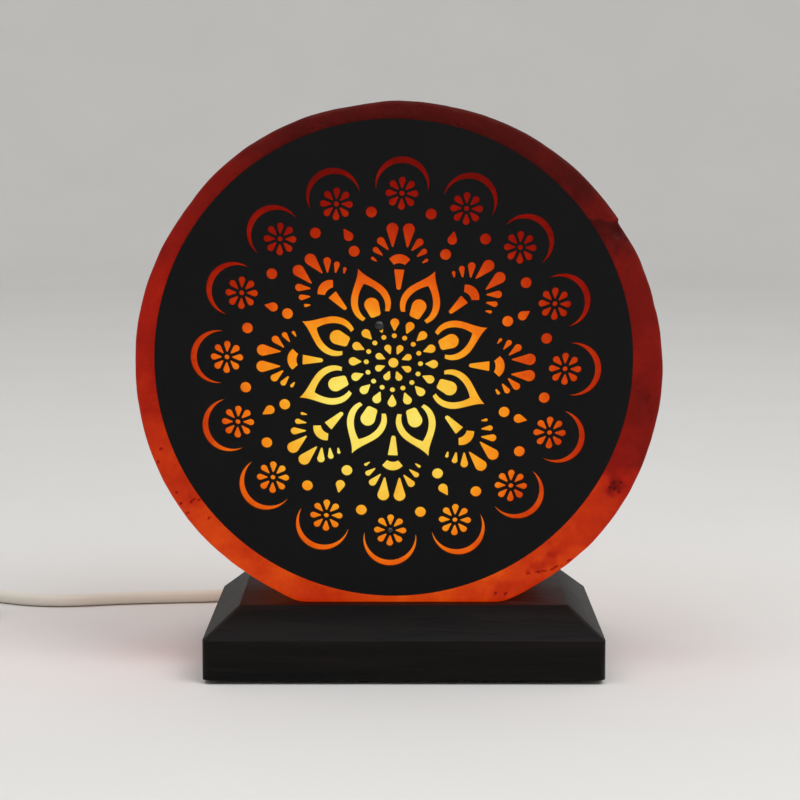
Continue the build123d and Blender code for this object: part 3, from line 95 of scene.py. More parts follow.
LEAD_SIDES = 5               # how finely the lead's round section is divided

# the salt
EDGE_ROUND = 0.0016
FLAT_BLEND = 0.0004          # how softly the round outline meets the flat
FLAT_LEAST_COSINE = 0.3      # further round than this the flat lies outside the round outline anyway
BORE_RADIUS = 0.021
BORE_DEPTH = 0.095
BORE_COLUMNS, PLUG_COLUMNS = 96, 24
SCREW_PLUG_RADIUS = 0.00302
PIN_PLUG_RADIUS = 0.00162
SALT_COLUMNS = 640
FACE_ROWS, RING_ROWS, BACK_RING_ROWS, EDGE_ROWS, SIDE_ROWS = 34, 21, 7, 4, 30
FACE_START = 0.04            # share of the outline where the rows of a face begin, round its pole
RING_START = 0.88            # and where the closer rows of the ring that shows round the plate begin
FINE_START = 0.075           # distance from the axis from which the points lie close enough for fine shapes
FINE_FADE = 0.004
# the outline, cut by hand: degrees clockwise from the top, and how many millimetres it lies inside the
# radius there, or outside where the number is below 0
OUTLINE_HOLLOWS = [
    (0, 0.4), (12, 0.7), (30, 0.2), (47, 0), (62, 0.1), (76, -0.1), (84, -0.7), (98, -1.2), (108, -1.2),
    (120, -1.5), (132, -1.7), (140, -1.4), (150, -0.8), (158, -0.2), (202, 0.4), (212, 0.1), (222, -0.4),
    (234, -0.9), (254, -0.8), (266, -0.4), (282, -0.4), (294, 0.1), (304, 0.4), (314, 0), (324, -0.1),
    (338, 0.2), (350, 0.8), (360, 0.4),
]
# the nick in the outline, front only: degrees where it begins, how many degrees it takes to step in and
# to run out, depth in millimetres
NICK = (56.8, 0.7, 9, 0.8)
NICK_REACH = 0.5             # how far through the front half
# chips: degrees clockwise from the top, millimetres out, y as a share of half the thickness, size and
# depth in millimetres, and how many millimetres of salt they add to the light's way
CHIPS = [
    # the first two are real chips in the nick; the way they add paints the shade of its chipped face
    (57.9, 86.2, -1.0, 1.5, 0.4, 8), (59.4, 87.8, -1.0, 2.2, 0.5, 5),
    (97.5, 84.9, -1.0, 3.0, 0.3, 4), (99.3, 85.5, -1.0, 1.4, 0.6, 12), (101.0, 87.5, -1.0, 1.0, 0.3, 9),
    (119.6, 86.0, -1.0, 2.8, 0.4, 11), (121.4, 85.2, -1.0, 1.8, 0.6, 12), (118.6, 83.6, -1.0, 2.0, 0.4, 8),
    (138.2, 85.9, -1.0, 2.4, 0.2, 4), (148.3, 84.4, -1.0, 1.0, 0.4, 8), (145.6, 85.4, -1.0, 1.6, 0.4, 7),
    (142.5, 86.4, -1.0, 2.2, 0.3, 6), (140.3, 84.2, -1.0, 2.0, 0.2, 6), (-123.5, 84.5, -1.0, 3.0, 0.3, 3),
    (20, 90, -0.3, 5.5, 1.1, 4), (75, 90, 0.35, 6.5, 1.4, 5), (110, 90, -0.2, 5.0, 1.0, 5),
    (-80, 90, 0.1, 6.0, 1.3, 6), (-45, 90, -0.4, 4.0, 0.9, 4), (-110, 90, 0.6, 4.5, 1.1, 6),
    (-20, 90, 0.5, 5.0, 0.9, 4), (35, 72, 1.0, 7.0, 1.1, 5), (-60, 50, 1.0, 6.0, 0.8, 6),
    (130, 63, 1.0, 8.0, 1.2, 8), (-120, 76, 1.0, 5.5, 0.9, 6), (170, 40, 1.0, 5.0, 0.7, 7),
    (5, 27, 1.0, 6.0, 0.7, 5), (84, 89, 0.97, 4.2, 1.0, 5), (-34, 89, 0.97, 3.4, 0.8, 5),
    (-97, 89.5, 0.97, 2.8, 0.7, 5), (12, 88.5, 0.97, 2.6, 0.6, 4), (128, 89, 0.97, 3.2, 0.8, 4),
]
# how far a chip and a cloud reach, in sizes
CHIP_REACH, CLOUD_REACH = 1.3, 1.15
# clouds and clear places in the salt: degrees, millimetres out and y as above, size, added way
CLOUDS = [
    (118.9, 85.6, -1.0, 4.6, 8), (121.0, 84.6, -1.0, 2.6, 5), (139, 86, -1.0, 12, -3),
    (156.5, 86.5, -1.0, 4.5, 5), (146.5, 85.5, -1.0, 4.0, 3),
    (40, 70, 1.0, 30, 9), (-120, 60, 1.0, 26, 8), (100, 40, 1.0, 18, -6), (-30, 50, 1.0, 22, -7),
    (60, 90, 0.4, 30, 8), (-95, 90, 0.3, 26, -8), (160, 70, 1.0, 20, 6), (15, 90, 0.3, 30, -8),
]
# darker (+) and clearer (-) stretches of the front ring, cut off level: degrees from and to, how many
# degrees each end takes to fade, added way. The first is painted shade: the nick's chipped face, turned away,
# darkened in the glow
STRETCHES_AND_NICK_SHADE = [
    (55.4, 68, 0.7, 9, 9), (84, 116, 14, 1.6, 6), (115, 170, 3, 8, -5), (136, 152, 3, 6, -3.5),
    (-170, -138, 4, 6, -4), (-86, -46, 9, 12, -3), (-40, 54, 8, 8, 5),
]
STRETCH_REACH = 1.3          # how far the stretches reach back, as a share of half the thickness
RING_MIDDLE = 0.0865         # radius of the middle of the ring that shows round the plate
RING_EVENNESS = 0.7          # how much of the way outwards across the ring the light doesn't notice
RING_REACH = (-0.0045, 0.0035)   # from that radius to the ring's inner and outer edge
# dark specks and cracks in the front face, as x and z
SPECKS_MM = [
    (-74.9, 59.4), (-70.9, 60.3), (-70.0, 61.2), (-68.6, 60.8), (-72.5, 56.4), (-65.1, 54.6), (-81.3, 78.6),
    (-82.3, 74.1), (-76.2, 63.4), (72.6, 65.1), (74.4, 64.8), (75.8, 63.5), (76.4, 66.8), (74.3, 67.0),
    (37.1, 28.3), (33.6, 28.5), (69.3, 90.5),
]
CRACKS_MM = [((44.4, 35.3), (52.0, 36.3)), ((52.0, 36.3), (59.5, 40.1))]
SPECK_SIZE = 0.0007
CRACK_SIZE = 0.00022
MARK_CORE = 0.3              # share of a speck's or crack's size inside which it is fully dark
MARK_DEPTH = 0.04            # how much y counts in the distance from a mark
MARK_RAGGEDNESS = 0.0028
# lumps: their height, spacing in metres and the seed of their random numbers. Wear in millimetres, edges as
# a share of a mark's size, crumbs as a share of their depth, haze in millimetres of way, level in degrees
LUMPS = {
    "broad_wear": (0.2, 0.034, 5), "middling_wear": (0.1, 0.011, 8), "fine_wear": (0.05, 0.0035, 9),
    "edges": (0.3, 0.007, 6), "fine_edges": (0.5, 0.002, 7), "crumbs": (1.0, 0.004, 13),
    "haze": (4.0, 0.021, 11), "fine_haze": (2.5, 0.008, 12),
    "level": (1.3, 0.0045, 14), "fine_level": (0.7, 0.0018, 15),
}
WEAR_MEAN = 0.35             # millimetres: the three heights of wear together, so that it stays above 0
CRUMB_REACH = 0.0025         # how far from an edge it is crumbled
CRUMB_DEPTH = 0.0004
CRUMB_SHARE = 0.4            # how much of the edge is crumbled: more is nearer all of it
FOOT_FADE = 0.004            # the wear fades out over this height above the flat it stands on
FOOT_CLEAR = 0.05            # beginning at this share of that height
PLATE_MARGIN = 0.003         # the plate covers the salt up to this far inside its rim
COVERED_WEAR = 0.35          # share of the wear that is left behind the plate
FACES_FRONT = -0.9           # a normal's y on the front face is below this

# how far the salt's patterns lengthen the light's way, in metres
CLOUD_WAY, GRAIN_WAY, SPECK_WAY, PIT_WAY, MARK_WAY = 0.016, 0.012, 0.010, 0.003, 0.017
WARP = 0.010                 # how far a noise pushes the specks and facets aside
DARKENING = 45               # how fast the salt's colour darkens with the added way, to the metre, the nick's painted shade included
DULLNESS = 0.86              # the darker tone of a metal's cloudiness, as a share of the brighter one

# the glow: how far the bulb's light has come through the salt
GLOW_CENTRE_MM = (-5.4, -4.5, 88.6)
GLOW_RISE = 1.09             # the glow fades this much faster up and down than sideways
GLOW_REACH = 0.13
GLOW_STOPS = [               # distance in millimetres, then the colour there
    (24, (255, 238, 128)), (35, (249, 229, 102)), (41, (247, 206, 74)), (47, (246, 176, 44)),
    (53, (244, 150, 26)), (59, (237, 119, 16)), (65, (228, 97, 11)), (72, (200, 64, 7)),
    (80, (177, 42, 3)), (90, (143, 17, 2)), (102, (108, 7, 2)), (122, (50, 1, 1)),
]

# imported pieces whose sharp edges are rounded, and how wide
EASED_MM = {
    "wooden_base": 0.7, "base_feet": 0.4, "lead_strain_relief": 0.3,
    "coil_tie": 0.25, "switch_lower_housing": 0.15, "switch_upper_housing": 0.25, "switch_rocker": 0.35,
    "switch_strain_reliefs": 0.3, "plug_strain_relief": 0.3, "plug_pins": 0.2,
}
# points nearer than the first are one point there, and faces within the second are one flat
MERGE_DISTANCE = 0.000002
FLAT_DEGREES = 0.5
SHARP_DEGREES = 28           # an edge is rounded from this angle on
EASE_SEGMENTS = 2

# the room
FLOOR_RADIUS = 2.4
COVE_RADIUS = 1.2            # the floor's rim curves up with this radius
COVE_HEIGHT = 1.6
COVE_ROWS, COVE_COLUMNS = 16, 96
ROOM_LIGHT = 0.65            # strength of the even light from all round
ROOM_SEEN = 0.9              # grey that the camera and reflections see instead of it
LAMP_AIM = (0, 0, 0.08)
SOFT_LAMPS = [               # name, place, width, watts
    ("upper_right", (0.9, -1.0, 1.5), 1.2, 16), ("left", (-0.6, -0.9, 1.7), 1.4, 8),
]

# ---------------------------------------------------------------- surfaces


def corner(node):
    """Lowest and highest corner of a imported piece, as arrays."""
    low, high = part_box(node)
    return np.array(low), np.array(high)


def add_piece(name, points, faces):
    """A smooth mesh from an array of points and a list of faces, with its object at the origin."""
    mesh = bpy.data.meshes.new(name)
    mesh.from_pydata(np.asarray(points, float).reshape(-1, 3).tolist(), [], faces)
    mesh.update()
    mesh.shade_smooth()
    piece = bpy.data.objects.new(name, mesh)
    bpy.context.scene.collection.objects.link(piece)
    return piece


def wrapped_faces(rows, columns):
    """Quads between neighbouring rows of a grid whose columns close on themselves, then a fan at each end.

    Vertex r * columns + c is row r, column c; the two poles follow the grid."""
    r, c = np.meshgrid(np.arange(rows - 1), np.arange(columns), indexing="ij")
    after = (c + 1) % columns
    here, above = r * columns, (r + 1) * columns
    quads = np.stack([here + c, here + after, above + after, above + c], -1)
    turn = np.arange(columns)
    ahead = (turn + 1) % columns
    first, last = rows * columns, rows * columns + 1
    low = np.stack([ahead, turn, np.full(columns, first)], -1)
    top = (rows - 1) * columns
    high = np.stack([top + turn, top + ahead, np.full(columns, last)], -1)
    return quads.reshape(-1, 4).tolist() + low.tolist() + high.tolist()


def turned(name, profile, middle, axis, columns):
    """A solid turned about an axis: (radius, along) points carried round it, with a pole at each end.

    A point is middle + along * axis + radius * (cos t * u + sin t * v), with u and v square to the axis."""
    axis = np.asarray(axis, float)
    u = np.roll(axis, 1)
    v = np.cross(axis, u)
    radius, along = np.array(profile, float).T
    t = np.arange(columns) * 2 * math.pi / columns
    ring = np.cos(t)[:, None] * u + np.sin(t)[:, None] * v
    grid = radius[:, None, None] * ring + along[:, None, None] * axis
    poles = np.array([along[0] * axis, along[-1] * axis])
    points = np.concatenate([grid.reshape(-1, 3), poles]) + np.asarray(middle, float)
    return add_piece(name, points, wrapped_faces(len(profile), columns))


def lumps(points, kind):
    """Smooth random heights of one kind of lump, at each of an array of points.

    Random numbers from -height to height sit on a cubic lattice of the kind's spacing, and a point blends
    the eight round it by 3 t^2 - 2 t^3 along each side of its cell."""
    height, spacing, seed = LUMPS[kind]
    size = 32                # the lattice repeats after this many cells
    table = np.random.default_rng(seed).uniform(-1, 1, (size,) * 3)
    cell = points / spacing
    low = np.floor(cell).astype(int)
    t = fade(cell - low)
    total = np.zeros(points.shape[:-1])
    for step in itertools.product((0, 1), repeat=3):
        near = np.array(step)
        index = (low + near) % size
        weight = np.where(near, t, 1 - t).prod(-1)
        total += weight * table[index[..., 0], index[..., 1], index[..., 2]]
    return height * total


def fade(x):
    """0 below 0, 1 above 1, and 3 x^2 - 2 x^3 between."""
    x = np.clip(x, 0, 1)
    return x * x * (3 - 2 * x)


def grid_normals(grid):
    """Outward unit normals of a grid of rows and wrapped columns: the cross product of its two slopes."""
    along = np.gradient(grid, axis=0)
    around = np.roll(grid, -1, 1) - np.roll(grid, 1, 1)
    normal = np.cross(around, along)
    return normal / np.linalg.norm(normal, axis=-1, keepdims=True)


def salt_outline(angle, radius, drop):
    """Distance from the disc's axis to its outline at angles clockwise from the top.

    The radius less the hollows' depth, which passes from one to the next by 3 t^2 - 2 t^3. A soft minimum
    -k log(sum of exp(-distance / k)) blends it with the flat, at drop / cos(angle from straight down)."""
    marks, depths = np.array(OUTLINE_HOLLOWS).T
    degrees = np.degrees(angle) % 360
    k = np.searchsorted(marks, degrees, side="right") - 1
    share = fade((degrees - marks[k]) / (marks[k + 1] - marks[k]))
    worn = radius - (depths[k] + (depths[k + 1] - depths[k]) * share) * MM
    flat = drop / np.maximum(np.cos(angle - math.pi), FLAT_LEAST_COSINE)
    reach = np.stack([worn, flat])
    nearest = reach.min(0)
    return nearest - FLAT_BLEND * np.log(np.exp((nearest - reach) / FLAT_BLEND).sum(0))


def nick_depth(angle, through):
    """Depth of the nick at angles and shares through the block: it steps in, runs out and fades inwards."""
    begin, step, run, depth = NICK
    turn = np.degrees((angle - math.radians(begin) + math.pi) % (2 * math.pi) - math.pi)
    around = fade(turn / step) * fade(1 - turn / run)
    return depth * MM * around[None, :] * (1 - fade(through / NICK_REACH))[:, None]


def salt_profile(half):
    """Each row's share of the outline, inset from it, and y: front face, edge, side, edge, back face.

    The edge is a quarter circle, at inset e (1 - sin t) and e (1 - cos t) behind the face."""
    def face(ring_rows, y):
        """The rows of one face, which lie closer in the ring."""
        share = np.concatenate([np.linspace(FACE_START, RING_START, FACE_ROWS, endpoint=False),
                                np.linspace(RING_START, 1, ring_rows)])
        return np.stack([share, np.full_like(share, EDGE_ROUND), np.full_like(share, y)])

    t = np.linspace(0, math.pi / 2, EDGE_ROWS + 2)[1:-1]
    bend = np.stack([np.ones(EDGE_ROWS), EDGE_ROUND * (1 - np.sin(t)), EDGE_ROUND * (1 - np.cos(t)) - half])
    side = np.stack([np.ones(SIDE_ROWS), np.zeros(SIDE_ROWS),
                     np.linspace(EDGE_ROUND - half, half - EDGE_ROUND, SIDE_ROWS)])
    back_bend = bend[:, ::-1] * np.array([[1], [1], [-1]])
    back = face(BACK_RING_ROWS, half)[:, ::-1]
    return np.concatenate([face(RING_ROWS, -half), bend, side, back_bend, back], 1)


def salt_places(marks, half):
    """Place and remaining numbers of marks given by degrees from the top, millimetres out, share of half."""
    for degrees, out, share, *rest in marks:
        a = math.radians(degrees)
        yield np.array([out * MM * math.sin(a), share * half, out * MM * math.cos(a)]), rest


def fine_enough(points):
    """1 on the ring and the sides, where the points lie close, and 0 on the faces inside the ring."""
    return fade((np.hypot(points[..., 0], points[..., 2]) - FINE_START) / FINE_FADE)


def raggedness(points):
    """Values round 1 that break up edges: middling lumps, and fine ones where the points lie close."""
    return 1 + lumps(points, "edges") + fine_enough(points) * lumps(points, "fine_edges")


def bowl(points, place, size, reach, ragged):
    """1 round a place and 0 from reach sizes away: fade(reach - distance / size), distance times ragged."""
    return fade(reach - np.linalg.norm(points - place, axis=-1) / (size * MM) * ragged)


def salt_wear(grid, half):
    """Depth worn off the salt in metres: broad, middling and fine lumps, and a bowl for each chip."""
    wear = WEAR_MEAN + lumps(grid, "broad_wear") + lumps(grid, "middling_wear")
    wear += lumps(grid, "fine_wear") * fine_enough(grid)
    ragged = raggedness(grid)
    for place, (size, depth, _) in salt_places(CHIPS, half):
        wear += depth * bowl(grid, place, size, CHIP_REACH, ragged)
    return wear * MM


def light_way(points, half):
    """Millimetres that clouds, stretches and chips add to the light's way, at points from the centre; the
    first stretch is painted shade.

    A stretch goes by the angle at which a level line through the point would cross the ring's middle, made
    ragged by lumps, and fades towards the back. Across the ring the light's way grows less than distance."""
    ragged = raggedness(points)
    added = lumps(points, "haze") + lumps(points, "fine_haze")
    for place, (size, way) in salt_places(CLOUDS, half):
        added += way * bowl(points, place, size, CLOUD_REACH, ragged)
    for place, (size, _, way) in salt_places(CHIPS, half):
        added += way * bowl(points, place, size, CHIP_REACH, ragged)
    level = np.degrees(np.arccos(np.clip(points[..., 2] / RING_MIDDLE, -1, 1))) * np.sign(points[..., 0])
    level += lumps(points, "level") + lumps(points, "fine_level")
    front = (1 - fade((points[..., 1] / half + 1) / STRETCH_REACH)) * fine_enough(points)
    # the first stretch paints the shade of the nick's chipped face into the glow
    for begin, end, begin_soft, end_soft, way in STRETCHES_AND_NICK_SHADE:
        added += way * front * fade((level - begin) / begin_soft) * fade((end - level) / end_soft)
    across = np.hypot(points[..., 0], points[..., 2]) - RING_MIDDLE
    return added - RING_EVENNESS * np.clip(across, *RING_REACH) / MM


def salt_block():
    """The salt: its outline carried through the profile, then worn inwards along its normals.

    The wear fades out where the block stands and is less behind the plate; edges are crumbled a little
    more. The attribute way holds the millimetres that clouds and the like add to the light's way, the nick's
    painted shade among them."""
    low, high = corner("salt_disc")
    radius, half = (high[0] - low[0]) / 2, (high[1] - low[1]) / 2
    centre = np.array([0, (low[1] + high[1]) / 2, high[2] - radius])
    drop = centre[2] - low[2]
    angle = np.arange(SALT_COLUMNS) * 2 * math.pi / SALT_COLUMNS
    outline = salt_outline(angle, radius, drop)
    share, inset, y = salt_profile(half)
    rim = outline[None, :] - nick_depth(angle, (y + half) / half)
    out = (rim - inset[:, None]) * share[:, None]
    grid = np.stack([out * np.sin(angle), np.broadcast_to(y[:, None], out.shape), out * np.cos(angle)], -1)
    normal = grid_normals(grid)
    wear = salt_wear(grid, half)
    edge = fade(1 - np.hypot(rim - out, half - np.abs(grid[..., 1])) / CRUMB_REACH)
    wear += edge * CRUMB_DEPTH * fade(CRUMB_SHARE + lumps(grid, "crumbs"))
    foot = fade((grid[..., 2] + drop) / FOOT_FADE - FOOT_CLEAR)
    plate_low, plate_high = corner("pattern_plate")
    covered = (plate_high[0] - plate_low[0]) / 2 - PLATE_MARGIN
    behind = (normal[..., 1] < FACES_FRONT) & (out < covered)
    wear *= np.where(behind, COVERED_WEAR, 1.0) * np.where(out > drop / 2, foot, 1.0)
    grid = grid - normal * wear[..., None]
    poles = np.array([[0, -half, 0], [0, half, 0]])
    points = np.concatenate([grid.reshape(-1, 3), poles]) + centre
    block = add_piece("salt_block", points, wrapped_faces(len(share), SALT_COLUMNS))
    piece = bored(block, salt_bores(low, high))
    places = np.empty(3 * len(piece.data.vertices))
    piece.data.vertices.foreach_get("co", places)
    way = light_way(places.reshape(-1, 3) - centre, half)
    piece.data.attributes.new("way", "FLOAT", "POINT").data.foreach_set("value", way)
    return piece


def salt_bores(low, high):
    """The bore for bulb and holder, and the holes of the four wall plugs."""
    upright, forward = (0, 0, 1), (0, 1, 0)
    start = (0, (low[1] + high[1]) / 2, low[2] - EDGE_ROUND)
    profile = [(BORE_RADIUS, 0), (BORE_RADIUS, EDGE_ROUND + BORE_DEPTH)]
    holes = [turned("bore", profile, start, upright, BORE_COLUMNS)]
    plugs = [("salt_screw_plugs", upright, SCREW_PLUG_RADIUS), ("plate_pin_plugs", forward, PIN_PLUG_RADIUS)]
    for node, axis, size in plugs:
        for middle, reach in plug_places(node, axis):
            begin = middle - np.array(axis) * (reach + EDGE_ROUND)
            profile = [(size, 0), (size, 2 * reach + EDGE_ROUND)]
            holes.append(turned("hole", profile, begin, axis, PLUG_COLUMNS))
    return holes


def plug_places(node, axis):
    """Middle and half length of each of a node's two plugs, which lie apart in x if upright, else in z."""
    points = np.array([v.co for v in nodes[node].data.vertices])
    along = int(np.argmax(axis))
    sideways = 0 if along == 2 else 2
    split = points[:, sideways].mean()
    for side in (points[:, sideways] < split, points[:, sideways] >= split):
        low, high = points[side].min(0), points[side].max(0)
        yield (low + high) / 2, (high - low)[along] / 2


def bored(piece, holes):
    """The piece with those closed shapes cut out of it."""
    for hole in holes:
        cut = piece.modifiers.new(hole.name, "BOOLEAN")
        cut.operation, cut.object, cut.solver = "DIFFERENCE", hole, "MANIFOLD"
    done = bpy.data.meshes.new_from_object(piece.evaluated_get(bpy.context.evaluated_depsgraph_get()))
    piece.modifiers.clear()
    piece.data = done
    for hole in holes:
        bpy.data.objects.remove(hole)
    return piece


def eased(node, width):
    """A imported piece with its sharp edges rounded: its points merged, its flats joined, then a Bevel."""
    mesh = nodes[node].data.copy()
    shape = bmesh.new()
    shape.from_mesh(mesh)
    bmesh.ops.remove_doubles(shape, verts=shape.verts, dist=MERGE_DISTANCE)
    bmesh.ops.dissolve_limit(shape, angle_limit=math.radians(FLAT_DEGREES),
                             verts=shape.verts, edges=shape.edges)
    shape.to_mesh(mesh)
    shape.free()
    mesh.shade_smooth()
    piece = bpy.data.objects.new(node + "_eased", mesh)
    bpy.context.scene.collection.objects.link(piece)
    bevel = piece.modifiers.new("edges", "BEVEL")
    bevel.width, bevel.segments = width, EASE_SEGMENTS
    bevel.limit_method, bevel.angle_limit = "ANGLE", math.radians(SHARP_DEGREES)
    bevel.harden_normals = True
    return piece


# ---------------------------------------------------------------- the lead


def coil_points():
    """Points round each half turn of the coil, half a step in from its ends.

    A half turn's points lie 1 / cos(half a step) further out than its radius, so that the spline, which
    touches the middle of each of its runs, has that radius. The half turns shrink by half a pitch,
    climb a layer in the one where the spiral turns back, by half the rise times 1 - cos(angle), and
    grow again."""
    step = math.pi / COIL_POINTS
    t = (np.arange(COIL_POINTS) + 0.5) * step
    shrinking = [COIL_RADIUS - k * COIL_PITCH / 2 for k in range(COIL_HALF_TURNS)]
    least = COIL_RADIUS - COIL_HALF_TURNS * COIL_PITCH / 2
    points, edge, side, height = [], COIL_X - COIL_RADIUS, 1, COIL_HEIGHT
    for k, radius in enumerate(shrinking + [least] + shrinking[::-1]):
        climbing = k == COIL_HALF_TURNS
        rise = COIL_PITCH / 2 * (1 - np.cos(t)) if climbing else 0 * t
        out = radius / math.cos(step / 2)
        x = edge + side * (radius - out * np.cos(t))
        points += np.stack([x, COIL_Y - side * out * np.sin(t), height + rise], -1).tolist()
        edge, side = edge + 2 * side * radius, -side
        height += COIL_PITCH if climbing else 0
    return points


def cord(name, points, steps):
    """A round cord on one smooth spline that has those points as its control points, in steps for each."""
    curve = bpy.data.curves.new(name, "CURVE")
    curve.dimensions = "3D"
    curve.bevel_depth, curve.bevel_resolution = LEAD_DIAMETER / 2, LEAD_SIDES
    curve.use_fill_caps = True
    spline = curve.splines.new("NURBS")
    spline.points.add(len(points) - 1)
    spline.points.foreach_set("co", [c for p in points for c in (*p, 1.0)])
    spline.order_u = 3
    spline.use_endpoint_u = True
    spline.resolution_u = steps
    piece = bpy.data.objects.new(name, curve)
    bpy.context.scene.collection.objects.link(piece)
    return piece


# ---------------------------------------------------------------- shader maths


def colour(red, green, blue):
    """Linear colour of a screen colour written from 0 to 255."""
    screen = np.array([red, green, blue]) / 255
    linear = np.where(screen <= 0.04045, screen / 12.92, ((screen + 0.055) / 1.055) ** 2.4)
    return (*linear.tolist(), 1.0)


class Signal:
    """A socket of a finish's nodes. Arithmetic on it adds Math nodes, or Vector Math on a vector."""

    def __init__(self, finish, socket):
        self.finish, self.socket = finish, socket
        self.vector = socket.type in ("VECTOR", "RGBA")

    def maths(self, operation, *terms):
        """One node for an operation; a number beside a vector counts for all three of its directions."""
        vector = any(isinstance(term, tuple) or isinstance(term, Signal) and term.vector for term in terms)
        kind = "ShaderNodeVectorMath" if vector else "ShaderNodeMath"
        spread = [(t, t, t) if vector and isinstance(t, (int, float)) else t for t in terms]
        return self.finish.add(kind, {"operation": operation}, dict(enumerate(spread)))

    def __add__(self, other):
        return self.maths("ADD", self, other)

    def __radd__(self, other):
        return self.maths("ADD", other, self)

    def __sub__(self, other):
        return self.maths("SUBTRACT", self, other)

    def __rsub__(self, other):
        return self.maths("SUBTRACT", other, self)

    def __mul__(self, other):
        return self.maths("MULTIPLY", self, other)

    def __rmul__(self, other):
        return self.maths("MULTIPLY", other, self)

    def __truediv__(self, other):
        return self.maths("DIVIDE", self, other)

    def above(self, low, high):
        """0 below low, 1 above high, smooth between."""
        return self.finish.add(
            "ShaderNodeMapRange", {"interpolation_type": "SMOOTHSTEP"},
            {"Value": self, "From Min": low, "From Max": high, "To Min": 0.0, "To Max": 1.0})

    def length(self):
        """Length of a vector."""
        return self.finish.add("ShaderNodeVectorMath", {"operation": "LENGTH"}, {0: self}, "Value")

    def from_line(self, start, end):
        """Distance from the line between two places: |p - a - h (b - a)|, h its share along, 0 to 1."""
        span = np.subtract(end, start)
        off = self - tuple(start)
        along = self.finish.add("ShaderNodeVectorMath", {"operation": "DOT_PRODUCT"},
                                {0: off, 1: tuple(span / span.dot(span))}, "Value")
        return (off - along.greater(0.0).lesser(1.0) * tuple(span)).length()

    def lesser(self, other):
        """The lesser of two values."""
        return self.maths("MINIMUM", self, other)

    def greater(self, other):
        """The greater of two values."""
        return self.maths("MAXIMUM", self, other)


class Finish:
    """One material: its constants sit on the shader's own sockets, its patterns are Signals."""

    def __init__(self, name, **constants):
        self.material = bpy.data.materials.new(name)
        self.material.use_nodes = True
        self.tree = self.material.node_tree
        self.shader = self.tree.nodes["Principled BSDF"]
        self.place = self.add("ShaderNodeTexCoord", {}, {}, "Object")
        for socket, value in constants.items():
            self.set(self.shader, socket.replace("_", " "), value)

    def set(self, node, socket, value):
        """Sets or links one socket of a node."""
        target = node.inputs[socket]
        if isinstance(value, Signal):
            self.tree.links.new(value.socket, target)
        else:
            target.default_value = value

    def add(self, kind, settings, inputs, output=0):
        """Adds a node of that kind: its settings, then its sockets; gives one of its outputs."""
        node = self.tree.nodes.new(kind)
        for setting, value in settings.items():
            setattr(node, setting, value)
        for socket, value in inputs.items():
            self.set(node, socket, value)
        return Signal(self, node.outputs[output])

    def noise(self, scale, detail=3.0, roughness=0.55, place=None):
        """Cloudy values round 0.5; scale is lumps to the metre."""
        inputs = {"Vector": place or self.place, "Scale": scale, "Detail": detail, "Roughness": roughness}
        return self.add("ShaderNodeTexNoise", {}, inputs, "Fac")

    def cells(self, scale, place=None):
        """Distance from the nearest of scattered points; scale is points to the metre."""
        inputs = {"Vector": place or self.place, "Scale": scale}
        return self.add("ShaderNodeTexVoronoi", {"feature": "F1"}, inputs, "Distance")

    def stretched(self, x, y, z):
        """The place with each direction scaled, which draws a pattern out along the smallest."""
        return self.add("ShaderNodeMapping", {}, {"Vector": self.place, "Scale": (x, y, z)})

    def mix(self, share, first, second):
        """From the first colour to the second; the node's colours are its sockets 6, 7 and output 2."""
        return self.add("ShaderNodeMix", {"data_type": "RGBA"}, {0: share, 6: first, 7: second}, 2)

    def ramp(self, share, stops):
        """A colour ramp of (position, colour) stops."""
        result = self.add("ShaderNodeValToRGB", {}, {"Fac": share})
        elements = result.socket.node.color_ramp.elements
        while len(elements) < len(stops):
            elements.new(1.0)
        for element, (position, shade) in zip(elements, stops):
            element.position, element.color = position, shade
        return result

    def bump(self, height, strength, distance):
        """A surface relief."""
        inputs = {"Height": height, "Strength": strength, "Distance": distance}
        self.set(self.shader, "Normal", self.add("ShaderNodeBump", {}, inputs))
        return self

    def varies(self, **patterns):
        """Links patterns to the shader's sockets."""
        for socket, value in patterns.items():
            self.set(self.shader, socket.replace("_", " "), value)
        return self


# ---------------------------------------------------------------- finishes


def front_marks(finish):
    """1 on the front face's dark specks and cracks, 0 beside them, with ragged edges.

    The place is pushed aside by a fine noise, and its y counts little: a mark goes straight in. A noise
    breaks the cracks up."""
    ragged = finish.place + (finish.noise(900, detail=4, roughness=0.8) - 0.5) * MARK_RAGGEDNESS
    flat = ragged * (1.0, MARK_DEPTH, 1.0)
    front = MARK_DEPTH * corner("salt_disc")[0][1]

    def spot(x, z):
        """A place on the front face, from millimetres, with y scaled down as above."""
        return x * MM, front, z * MM

    speck = functools.reduce(Signal.lesser, [(flat - spot(*place)).length() for place in SPECKS_MM])
    crack = functools.reduce(Signal.lesser, [flat.from_line(spot(*a), spot(*b)) for a, b in CRACKS_MM])
    specks = 1 - speck.above(MARK_CORE * SPECK_SIZE, SPECK_SIZE)
    cracks = 1 - crack.above(MARK_CORE * CRACK_SIZE, 2 * CRACK_SIZE)
    return specks.greater(cracks * finish.noise(420, detail=2).above(0.4, 0.5))


